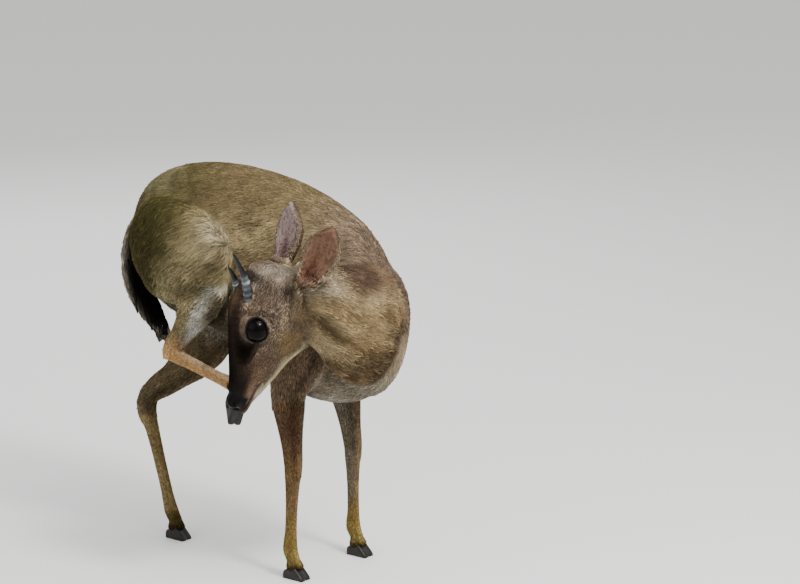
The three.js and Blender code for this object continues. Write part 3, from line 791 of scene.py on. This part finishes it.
# Lashes and whiskers
# Stiff black hairs along each upper lid and finer ones on the lips, each a tapered bristle
# rooted in the skin and bent towards its tip.
LASHES = 30
WHISKERS = 22
bristle_points = []
bristle_faces = []
draw = np.random.default_rng(5)
skin_tree = tree_of(skin_mesh)


def bristle(root, way, bend, length, thick):
    """A three-sided, tapered bristle of four lengths, bent along bend."""
    first = unit(np.cross(way, bend + np.array([0.01, 0.02, 0.03])))
    second = np.cross(way, first)
    start = len(bristle_points)
    for i in range(4):
        t = i / 4
        middle = root + way * length * t + bend * length * 0.4 * t * t
        for k in range(3):
            angle = 2 * math.pi * k / 3
            out = first * math.cos(angle) + second * math.sin(angle)
            bristle_points.append(middle + out * thick * (1 - t) ** 0.7)
    bristle_points.append(root + way * length + bend * length * 0.4)
    for i in range(3):
        for k in range(3):
            a, b = start + 3 * i + k, start + 3 * i + (k + 1) % 3
            bristle_faces.append((a, b, b + 3, a + 3))
    for k in range(3):
        bristle_faces.append((start + 9 + k, start + 9 + (k + 1) % 3, start + 12))
    bristle_faces.append((start + 2, start + 1, start))


def closed_mesh(label, points, faces):
    """A mesh through design places, with all its faces turned outwards."""
    mesh = bpy.data.meshes.new(label)
    mesh.from_pydata([tuple(p) for p in in_row(points)], [], faces)
    bm = bmesh.new()
    bm.from_mesh(mesh)
    bmesh.ops.recalc_face_normals(bm, faces=bm.faces)
    bm.to_mesh(mesh)
    bm.free()
    return mesh


for side in (1, -1):
    middle, out, along, across = eye_frame(side)
    across = across * -side
    for i in range(LASHES):
        a = math.radians(12 + 150 * i / (LASHES - 1) + draw.uniform(-2, 2))
        gap = 1 / math.hypot(math.cos(a) / EYE_GAP_LONG, math.sin(a) / EYE_GAP_HIGH)
        gap += math.radians(2.5)
        edge = along * math.cos(a) + across * math.sin(a)
        radial = out * math.cos(gap) + edge * math.sin(gap)
        root = on_head(*(middle + radial * (EYE_RADIUS + 0.3)))
        way = unit((radial + 0.5 * edge + 0.25 * out) @ HEAD_AXES)
        size = (3.5 + 3 * math.sin(a)) * draw.uniform(0.8, 1.15)
        bristle(root, way, unit((edge - 0.3 * out) @ HEAD_AXES), size, 0.16)
    for i in range(WHISKERS):
        back_at, face_at = draw.uniform(5, 24), draw.uniform(-13, 5)
        found = skin_tree.find_nearest(Vector(in_row(on_head(back_at, side * 14, face_at))))
        outward = np.array(found[1])
        root = in_design(found[0]) - outward * 0.5
        way = unit(outward + 0.3 * HEAD_AXES[0] + 0.25 * draw.normal(size=3))
        bristle(root, way, unit(HEAD_AXES[0] - 0.4 * HEAD_AXES[2]), draw.uniform(5, 12), 0.11)
bristle_stuff, add, look = new_material("bristle")
look("Base Color", ramp(add, noise(add, 300.0, 2.0), [(0.3, "0b0908"), (0.7, "2a221c")]))
look("Normal", bumped(add, noise(add, 2500.0, 2.0), 0.2, 0.0001))
look("Roughness", 0.4)
mesh = closed_mesh("bristles", bristle_points, bristle_faces)
mesh.materials.append(bristle_stuff)
bristles = new_object("bristles", mesh)
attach(bristles, "root")

# Horns
# Two short, slim, ringed horns of a male, one sheath over a bony core on each side.
# Blue-grey, with painted highlights pale on the rings and in a band just below the smooth, black tip.
HORN_ROOT = (95, 12, 19)
HORN_LENGTH = {1: 59.0, -1: 36.0}
HORN_RINGS = 6
HORN_TURNS = 40
HORN_STEPS = 150
horn_stuff, add, look = new_material("horn")
HORN_STOPS = [(0.0, "0b0b0a"), (0.4, "2b2f32"), (0.75, "4b5154"), (1.0, "858886")]
horn_tone_and_highlights = ramp(add, attribute(add, "ring"), HORN_STOPS)
flecks = ramp(add, noise(add, 240.0, 4.0), [(0.35, 0.4), (0.65, 1.2)])
look("Base Color", tinted(add, horn_tone_and_highlights, flecks))
look("Normal", bumped(add, noise(add, 700.0, 4.0), 0.5, 0.0003))
look("Roughness", 0.34)
look("Specular IOR Level", 0.3)
for side, label in ((1, "horn_left"), (-1, "horn_right")):
    t = np.linspace(-0.1, 1, HORN_STEPS)[:, None]
    length = HORN_LENGTH[side]
    way = np.hstack([
        HORN_ROOT[0] + length * 0.83 * t,
        side * (HORN_ROOT[1] + t),
        HORN_ROOT[2] + length * (0.52 * t - 0.08 * np.sin(np.pi * np.clip(t, 0, 1))),
    ])
    path = MUZZLE_TIP + way @ HEAD_AXES
    ringed = rise(0.03, 0.1, t) * rise(0.66, 0.52, t)
    saw = (t * HORN_RINGS / 0.62) % 1
    ridge = ringed * (0.5 - 0.5 * np.cos(2 * np.pi * saw ** 1.4))
    thick = 4.5 * np.clip(1 - t, 0, 2) ** 0.8 + 0.7 * rise(1.0, 0.93, t) + ridge * (0.75 - 0.5 * t)
    angle = np.linspace(0, 2 * np.pi, HORN_TURNS, endpoint=False)
    groove = 1 + 0.02 * np.sin(angle * 9) + 0.015 * np.sin(angle * 5 + 1)
    ahead = unit(np.gradient(path, axis=0))
    first = unit(np.cross(ahead, HEAD_AXES[0] + 0.3 * HEAD_AXES[2] + 0.9 * HEAD_AXES[1]))
    second = np.cross(ahead, first)
    spin = np.cos(angle)[:, None] * first[:, None] + np.sin(angle)[:, None] * second[:, None]
    rings = path[:, None] + spin * (thick * groove)[:, :, None]
    points = np.vstack([rings.reshape(-1, 3), path[:1], path[-1:]])
    faces = []
    for i in range(HORN_STEPS - 1):
        for j in range(HORN_TURNS):
            k = (j + 1) % HORN_TURNS
            row, above = i * HORN_TURNS, (i + 1) * HORN_TURNS
            faces.append((row + j, row + k, above + k, above + j))
    last = (HORN_STEPS - 1) * HORN_TURNS
    for j in range(HORN_TURNS):
        k = (j + 1) % HORN_TURNS
        faces.append((len(points) - 2, k, j))
        faces.append((len(points) - 1, last + j, last + k))
    mesh = closed_mesh(label + "_sheath", points, faces)
    # Painted highlights: paler on the crest of each ring and in a band halfway up; black from there
    # to the tip.
    ring_tone_and_highlights = np.clip(0.3 + 0.45 * ridge + 0.4 * hill(t - 0.5, 0.08), 0, 1) * rise(0.68, 0.54, t)
    ring_tone_and_highlights = np.repeat(ring_tone_and_highlights[:, 0], HORN_TURNS)
    write(mesh, "ring", "FLOAT", np.append(ring_tone_and_highlights, [ring_tone_and_highlights[0], 0.0]))
    mesh.shade_smooth()
    mesh.materials.append(horn_stuff)
    horn = new_object(label + "_sheath", mesh)
    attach(horn, "root")
    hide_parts(label)

# Hooves
# Two narrow, pointed, black toes on each foot, horny sheaths with flat soles at floor level.
# Each grows as one wall round the last bone of its toe.
HOOF_STEP = 0.7 * MM
SOLE_DEPTH = 0.5 * MM
hoof_stuff, add, look = new_material("hoof")
bands = add("ShaderNodeTexWave", {
    "Vector": own_place(add), "Scale": 260.0, "Distortion": 2.5, "Detail": 2.0,
}, bands_direction="Z")
horny = ramp(add, noise(add, 240.0, 4.0), [(0.3, "0d0b08"), (0.6, "1c1915"), (0.8, "332f28")])
look("Base Color", horny)
rough = bumped(add, bands.outputs["Fac"], 0.25, 0.0003)
look("Normal", bumped(add, noise(add, 900.0, 4.0), 0.3, 0.0003, rough))
look("Roughness", 0.34)
look("Specular IOR Level", 0.28)
for leg in LEGS:
    nodes = ["hoof_" + leg + "_outer", "hoof_" + leg + "_inner"]
    source_mesh = joined_mesh("spare", [flesh_copy(node) for node in nodes])
    mesh = voxelled(source_mesh, HOOF_STEP)
    mesh.name = "hooves_" + leg
    bpy.data.meshes.remove(source_mesh)
    co = points_of(mesh)
    sole = (co[:, 2] < SOLE_DEPTH) & (leg != "hind_right")
    co = evened(co, edges_of(mesh), np.where(sole, 0.0, 0.5), 12)
    co[sole, 2] = 0.0
    set_points(mesh, co)
    mesh.shade_smooth()
    mesh.materials.append(hoof_stuff)
    hooves = new_object("hooves_" + leg, mesh)
    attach(hooves, "root")
    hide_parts(*nodes)


# Coat
# The short, soft hair of the whole animal. Each tuft is a thin, bent blade, rooted in the
# skin and laid along the flow of the coat, longest on rump, thighs and neck.
HAIR_WAYS = {
    "shank_hind_right": (-90, 21, -93), "cannon_hind_right": (112, -39, -5),
    "pastern_hind_right": (26, -19, -26), "shank_hind_left": (-95, -30, -90),
    "cannon_hind_left": (48, -20, -95), "pastern_hind_left": (10, -6, -20),
    "pastern_fore": (8, 0, -20), "cannon_fore": (0, 0, -1), "forearm": (-0.12, 0, -1),
    "upper_arm": (-0.3, 0, -1), "thigh_hind_left": (-0.55, 0, -0.85), "tail": (0.25, -0.1, -1),
    "torso": (-1, 0, -0.3),
}
lie = np.tile([-1.0, 0.0, -0.3], (len(name), 1))
for starts, way in HAIR_WAYS.items():
    lie[among(name, starts)] = unit(way)
sweep = np.column_stack([-0.8 + 0.25 * rise(-10, -60, x), 0 * x, -0.5 - 0.35 * rise(0, -60, x)])
lie = np.where(among(name, "thigh_hind_right")[:, None], unit(sweep), lie)
NECK_FLOW = [
    ((128, 4, 266), (-1, 0.1, -0.2)), ((160, 0, 264), (-0.8, 0.5, -0.25)),
    ((177, -22, 268), (-0.15, 0.9, -0.35)), ((172, -54, 280), (0.3, 0.85, -0.4)),
    ((152, -82, 290), (0.5, 0.7, -0.4)),
]
flow = np.zeros((len(name), 3))
for at, way in NECK_FLOW:
    flow += hill(np.linalg.norm(design - np.array(at), axis=1), 26)[:, None] * unit(way)
lie = np.where((is_neck > 0)[:, None], unit(flow + 1e-6), lie)
face_flow = np.column_stack([np.ones(len(name)), 0.12 * np.sign(left), -0.12 + 0 * left]) @ HEAD_AXES
lie = np.where(on_face[:, None], unit(face_flow), lie)
lie = np.where((is_ear > 0)[:, None], unit(ear_lie + 1e-6), lie)
lie = unit(evened(lie, edges, 0.5, 16))

long = spread([
    (["torso_rear"], 15), (["torso_front"], 14), (["thigh"], 17), (["neck"], 16), (["upper_arm"], 10),
    (["forearm"], 6), (["shank"], 8.5), (["cannon"], 3.6), (["pastern"], 4.2), (["head"], 4.4),
    (["nose"], 1.3), (["ear"], 2.4), (["tail"], 14),
], 13)
long += is_trunk * 4 * rise(0, -70, x) + 3 * is_neck * rise(250, 228, z)
long = np.where(on_face, 1.3 + 3.3 * rise(10, 70, back) + 2.5 * rise(96, 124, back), long)
long = long * (1 - 0.45 * eye_ring)
long = np.where((ear_share > 0) & (ear_share < 0.3) & (ear_inside > 0.1), 4.5, long)
long += 3.5 * is_tail * rise(0.2, 0.7, np.abs(normal[:, 1]))
long *= 1 - 0.5 * (lifted_thigh + standing_thigh) * rise(272, 246, z)
long *= 1 - 0.55 * lifted_thigh * rise(14, 30, x) * rise(296, 280, z)
long = evened(long, edges, 0.5, 24)
wide = np.clip(0.085 * long + 0.28, 0.3, 1.75)
lift = spread([
    (["thigh"], 0.26), (["tail"], 0.34), (["head"], 0.3), (["nose"], 0.3), (["ear"], 0.3),
    (["cannon", "pastern"], 0.3), (["forearm", "shank", "upper_arm"], 0.27),
], 0.25)
many = 1 - 0.9 * ear_inside
many *= 1 - rise(0.15, 0.5, wet)
many *= 1 - lid_margin * is_head
many *= 1 - 0.75 * is_head * rise(0.3, 0.7, gland)
many = np.where(on_face, many * (1.9 - 0.9 * rise(20, 90, back)), many)
many = np.where(is_ear > 0, many * (1 + 0.6 * ear_edge), many)

fur, add, look = new_material("coat")
marks = attribute(add, "coat", "Color")
along = add("ShaderNodeSeparateXYZ", {"Vector": attribute(add, "tuft_at", "Vector")}).outputs["X"]
banded = ramp(add, along, [(0.0, 0.42), (0.3, 0.8), (0.62, 1.12), (0.86, 1.05), (1.0, 0.7)])
tufted = tinted(add, marks, banded)
varied = ramp(add, attribute(add, "shade"), [(0.0, 0.58), (0.5, 0.96), (0.85, 1.2), (1.0, 1.55)])
tufted = tinted(add, tufted, varied)
patches = ramp(add, noise(add, 75.0, 3.0), [(0.3, 0.74), (0.7, 1.2)])
look("Base Color", tinted(add, tufted, patches))
look("Normal", bumped(add, noise(add, 2200.0, 2.0), 0.25, 0.0002))
look("Roughness", 0.55)
look("Specular IOR Level", 0.06)

# One node group sets the tufts of each piece on a copy of its stretch of skin. In the bake's
# map each tuft takes a small patch at the place of its root.
ROOT_DEPTH = 0.0004
PATCH = 0.003
SEAM_ANGLE = math.radians(66)
ISLAND_GAP = 0.001
tree = bpy.data.node_groups.new("tufts", "GeometryNodeTree")
sockets = {}
for label, kind in (
    ("Geometry", "Geometry"), ("Segments", "Int"), ("Bend", "Float"), ("Number", "Float"),
    ("Wave", "Float"), ("Seed", "Int"), ("Material", "Material"),
):
    made = tree.interface.new_socket(label, in_out="INPUT", socket_type="NodeSocket" + kind)
    sockets[label] = made.identifier
tree.interface.new_socket("Geometry", in_out="OUTPUT", socket_type="NodeSocketGeometry")
entry = tree.nodes.new("NodeGroupInput").outputs
leave = tree.nodes.new("NodeGroupOutput").inputs
step = partial(new_node, tree)


def shown(node):
    return next(socket for socket in node.outputs if socket.enabled)


def read(label, kind="FLOAT"):
    return shown(step("GeometryNodeInputNamedAttribute", {"Name": label}, data_type=kind))


def sum_of(a, b, way="ADD"):
    return step("ShaderNodeMath", {0: a, 1: b}, operation=way).outputs[0]


def times(a, b):
    return sum_of(a, b, "MULTIPLY")


def vector_of(a, b, way="ADD"):
    return shown(step("ShaderNodeVectorMath", {0: a, 1: b}, operation=way))


def scaled(vector, scale):
    return step("ShaderNodeVectorMath", {0: vector, "Scale": scale}, operation="SCALE").outputs[0]


def of_parts(x, y, z):
    return step("ShaderNodeCombineXYZ", {0: x, 1: y, 2: z}).outputs[0]


def stored(geometry, label, value, kind, domain="POINT"):
    inputs = {"Geometry": geometry, "Name": label, "Value": value}
    return step("GeometryNodeStoreNamedAttribute", inputs, data_type=kind, domain=domain).outputs[0]


def chance(low, high, seed):
    inputs = {2: low, 3: high, "Seed": seed}
    return step("FunctionNodeRandomValue", inputs, data_type="FLOAT").outputs[1]


# A blade: a three-sided cone laid along X, fuller halfway, its tip bent back to the skin.
cone = step("GeometryNodeMeshCone", {
    "Vertices": 3, "Side Segments": entry["Segments"], "Fill Segments": 1,
    "Radius Top": 0.0, "Radius Bottom": 0.5, "Depth": 1.0,
}, fill_type="NGON")
spot = step("ShaderNodeSeparateXYZ", {0: step("GeometryNodeInputPosition").outputs[0]}).outputs
height_at = spot[2]
map_at = of_parts(height_at, sum_of(spot[0], 0.5), 0.0)
blade = stored(cone.outputs["Mesh"], "tuft_at", map_at, "FLOAT_VECTOR")
belly = times(times(height_at, sum_of(1.0, height_at, "SUBTRACT")), 2.4)
fuller = sum_of(belly, 1.0)
droop = times(times(height_at, height_at), entry["Bend"])
thick_at = sum_of(times(spot[1], fuller), droop, "SUBTRACT")
flat_at = of_parts(height_at, times(spot[0], fuller), thick_at)
blade = step("GeometryNodeSetPosition", {"Geometry": blade, "Position": flat_at}).outputs[0]

spread_points = step("GeometryNodeDistributePointsOnFaces", {
    "Mesh": entry["Geometry"],
    "Density": times(read("many"), entry["Number"]),
    "Seed": entry["Seed"],
}, distribute_method="RANDOM")
outward = spread_points.outputs["Normal"]
waves = step("ShaderNodeTexNoise", {"Scale": 38.0, "Detail": 2.0})
stir = vector_of(waves.outputs["Color"], (0.5, 0.5, 0.5), "SUBTRACT")
stir = scaled(stir, entry["Wave"])
loose = step("FunctionNodeRandomValue", {
    0: (-0.16, -0.16, -0.16), 1: (0.16, 0.16, 0.16), "Seed": 3,
}, data_type="FLOAT_VECTOR").outputs[0]
way = vector_of(vector_of(read("lie", "FLOAT_VECTOR"), stir), loose)
way = vector_of(way, scaled(outward, vector_of(way, outward, "DOT_PRODUCT")), "SUBTRACT")
way = step("ShaderNodeVectorMath", {0: way}, operation="NORMALIZE").outputs[0]
raised = times(read("lift"), chance(0.55, 1.35, 4))
way = vector_of(way, scaled(outward, raised))
turned = step("FunctionNodeAxesToRotation", {
    "Primary Axis": way, "Secondary Axis": outward,
}, primary_axis="X", secondary_axis="Z").outputs[0]
length_of = times(read("long"), chance(0.62, 1.15, 6))
sizes = of_parts(length_of, times(read("wide"), chance(0.7, 1.25, 5)), read("long"))
sunk = step("GeometryNodeSetPosition", {
    "Geometry": spread_points.outputs["Points"],
    "Offset": scaled(outward, -ROOT_DEPTH),
}).outputs[0]
sunk = stored(sunk, "shade", chance(0.0, 1.0, 7), "FLOAT")
set_out = step("GeometryNodeInstanceOnPoints", {
    "Points": sunk, "Instance": blade, "Rotation": turned, "Scale": sizes,
}).outputs[0]
real = step("GeometryNodeRealizeInstances", {"Geometry": set_out}).outputs[0]
patch = scaled(vector_of(read("tuft_at", "FLOAT_VECTOR"), (0.5, 0.5, 0.0), "SUBTRACT"), PATCH)
mapped = vector_of(read("unwrap", "FLOAT_VECTOR"), patch)
mapped = stored(real, "OFBake", mapped, "FLOAT2", "CORNER")
smooth = step("GeometryNodeSetShadeSmooth", {"Geometry": mapped}).outputs[0]
dressed = {"Geometry": smooth, "Material": entry["Material"]}
dressed = step("GeometryNodeSetMaterial", dressed).outputs[0]
tree.links.new(dressed, leave[0])

corner = taken(skin_mesh.polygons, "vertices", 3, np.int32)
face_name_of = name[corner[:, 0]]
across_of = design[corner[:, 0], 1]
row_points = in_row(design)


def coat_piece(label, chosen, number, hair, seed):
    """Tufts over the chosen faces of the skin, about number of them, as one joined mesh."""
    used, index = np.unique(corner[chosen].ravel(), return_inverse=True)
    base_mesh = bpy.data.meshes.new(label)
    faces = [tuple(f) for f in index.reshape(-1, 3)]
    base_mesh.from_pydata([tuple(p) for p in row_points[used]], [], faces)
    write(base_mesh, "coat", "FLOAT_COLOR", np.clip(coat[used], 0, 1))
    write(base_mesh, "lie", "FLOAT_VECTOR", lie[used])
    for field, values in (("long", long * MM), ("wide", wide * MM), ("lift", lift), ("many", crowd)):
        write(base_mesh, field, "FLOAT", values[used])
    base = new_object(label, base_mesh)
    bpy.context.view_layer.objects.active = base
    base.select_set(True)
    bpy.ops.object.mode_set(mode="EDIT")
    bpy.ops.mesh.select_all(action="SELECT")
    bpy.ops.uv.smart_project(angle_limit=SEAM_ANGLE, island_margin=ISLAND_GAP)
    bpy.ops.object.mode_set(mode="OBJECT")
    base.select_set(False)
    base_mesh.uv_layers.active.name = "unwrap"
    first, second, third = row_points[corner[chosen]].transpose(1, 0, 2)
    areas = np.linalg.norm(np.cross(second - first, third - first), axis=1) / 2
    weight = (areas * crowd[corner[chosen]].mean(axis=1)).sum()
    grow = base.modifiers.new("grow", "NODES")
    grow.node_group = tree
    grow[sockets["Segments"]], grow[sockets["Bend"]], grow[sockets["Wave"]] = hair
    grow[sockets["Number"]] = float(number / weight)
    grow[sockets["Seed"]] = seed
    grow[sockets["Material"]] = fur
    grown = applied(base)
    base.modifiers.clear()
    base.data = grown
    bpy.data.meshes.remove(base_mesh)
    grown.name = label
    grown.materials.clear()
    grown.materials.append(fur)
    grown.polygons.foreach_set("material_index", np.zeros(len(grown.polygons), np.int32))
    for spare in ("lie", "long", "wide", "lift", "many", "unwrap"):
        if spare in grown.attributes:
            grown.attributes.remove(grown.attributes[spare])
    return base


# The kinds of hair: how many lengths make a blade, how far its tip bends back and how much the
# flow waves. Each piece has the nodes it covers, its side, its number of tufts and its hair.
RUMP_HAIR = (2, 0.22, 1.15)
SHOULDER_HAIR = (2, 0.22, 1.05)
NECK_HAIR = (2, 0.22, 1.5)
ARM_HAIR = (2, 0.1, 0.6)
TAIL_HAIR = (2, 0.1, 0.5)
SHIN_HAIR = (1, 0.0, 0.4)
FACE_HAIR = (1, 0.0, 0.35)
EAR_HAIR = (1, 0.0, 0.3)
FIRST_SEED = 48
crowd = np.clip(many, 0, 2)
on_left = across_of > 0
SHINS = ("forearm", "shank", "cannon", "pastern")
COATS = [
    ("coat_rear_left", ("torso_rear",), on_left, 16500, RUMP_HAIR, "back"),
    ("coat_rear_right", ("torso_rear",), ~on_left, 16500, RUMP_HAIR, "back"),
    ("coat_front_left", ("torso_front",), on_left, 14500, SHOULDER_HAIR, "back"),
    ("coat_front_right", ("torso_front",), ~on_left, 14500, SHOULDER_HAIR, "back"),
    ("coat_thighs", ("thigh",), True, 19200, RUMP_HAIR, "back"),
    ("coat_neck", ("neck",), True, 16000, NECK_HAIR, "back"),
    ("coat_arms", ("upper_arm",), True, 8000, ARM_HAIR, "leg"),
    ("coat_tail", ("tail",), True, 3200, TAIL_HAIR, "tail"),
    ("coat_legs", SHINS, True, 38000, SHIN_HAIR, "leg"),
    ("coat_head", ("head", "nose"), True, 40000, FACE_HAIR, "face"),
    ("coat_ears", ("ear",), True, 12000, EAR_HAIR, "ear"),
]
for seed, (label, starts, on_side, number, hair, slot) in enumerate(COATS, FIRST_SEED):
    piece = coat_piece(label, among(face_name_of, *starts) & on_side, number, hair, seed)
    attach(piece, "root")
    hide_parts(*[node for node in FLESH if node.startswith(starts)])

# Floor, light and camera
# A plain, pale studio: a wide floor, an even sky and four square lamps round the animal, seen
# from where the photo was taken.
FLOOR_HALF = 30
floor_mesh = bpy.data.meshes.new("floor")
corners = [(x * FLOOR_HALF, y * FLOOR_HALF, 0) for x, y in ((-1, -1), (1, -1), (1, 1), (-1, 1))]
floor_mesh.from_pydata(corners, [], [(0, 1, 2, 3)])
floor = new_object("floor", floor_mesh)
world = bpy.data.worlds.new("studio")
bpy.context.scene.world = world
world.use_nodes = True
sky = world.node_tree.nodes["Background"].inputs
sky["Color"].default_value = (0.93, 0.925, 0.91, 1)
sky["Strength"].default_value = 1.0
AZIMUTH = math.radians(40)
ELEVATION = math.radians(15)
back_way = np.array([
    math.sin(AZIMUTH) * math.cos(ELEVATION),
    -math.cos(AZIMUTH) * math.cos(ELEVATION),
    math.sin(ELEVATION),
])
right_way = np.array([math.cos(AZIMUTH), math.sin(AZIMUTH), 0])
up_way = np.cross(back_way, right_way)


def faced(made, place, way):
    """Sets a lamp or camera at a place, with its back turned the given way."""
    made.location = Vector(place)
    made.rotation_mode = "QUATERNION"
    made.rotation_quaternion = Vector(way).to_track_quat("Z", "Y")


LAMP_AIM = 0.2


def lamp(label, way, distance, size, power, light_colour):
    """A square lamp, so many metres from the middle of the animal, that shines at it."""
    data = bpy.data.lights.new(label, "AREA")
    data.size = size
    data.energy = power
    data.color = light_colour
    way = Vector(way).normalized()
    faced(new_object(label, data), Vector((0, 0, LAMP_AIM)) + way * distance, way)


UP = np.array([0, 0, 1.0])
lamp("key", 0.6 * right_way + 0.55 * back_way + 1.0 * UP, 1.7, 1.1, 23, (1, 0.98, 0.95))
lamp("fill", -0.9 * right_way + 0.6 * back_way + 0.5 * UP, 1.9, 1.5, 8, (0.96, 0.98, 1))
lamp("rim", -0.2 * right_way - 0.9 * back_way + 0.8 * UP, 1.8, 1.2, 12, (1, 1, 1))
lamp("glint", 0.46 * right_way + 0.58 * up_way + 0.67 * back_way, 1.4, 0.22, 13, (1, 0.99, 0.97))

SENSOR = 36
FOCAL_PIXELS = 2940
PICTURE_PIXELS = 800
TARGET = np.array([90.0, -22.0, 200.0])
AIM_RIGHT = 104.8
AIM_UP = 69.0
DISTANCE = 2800.0
camera_data = bpy.data.cameras.new("camera")
camera_data.sensor_width = SENSOR
camera_data.lens = SENSOR * FOCAL_PIXELS / PICTURE_PIXELS
camera = new_object("camera", camera_data)
eye_point = in_row(TARGET + back_way * DISTANCE)
aim = in_row(TARGET + right_way * AIM_RIGHT + up_way * AIM_UP)
faced(camera, eye_point, eye_point - aim)
bpy.context.scene.camera = camera
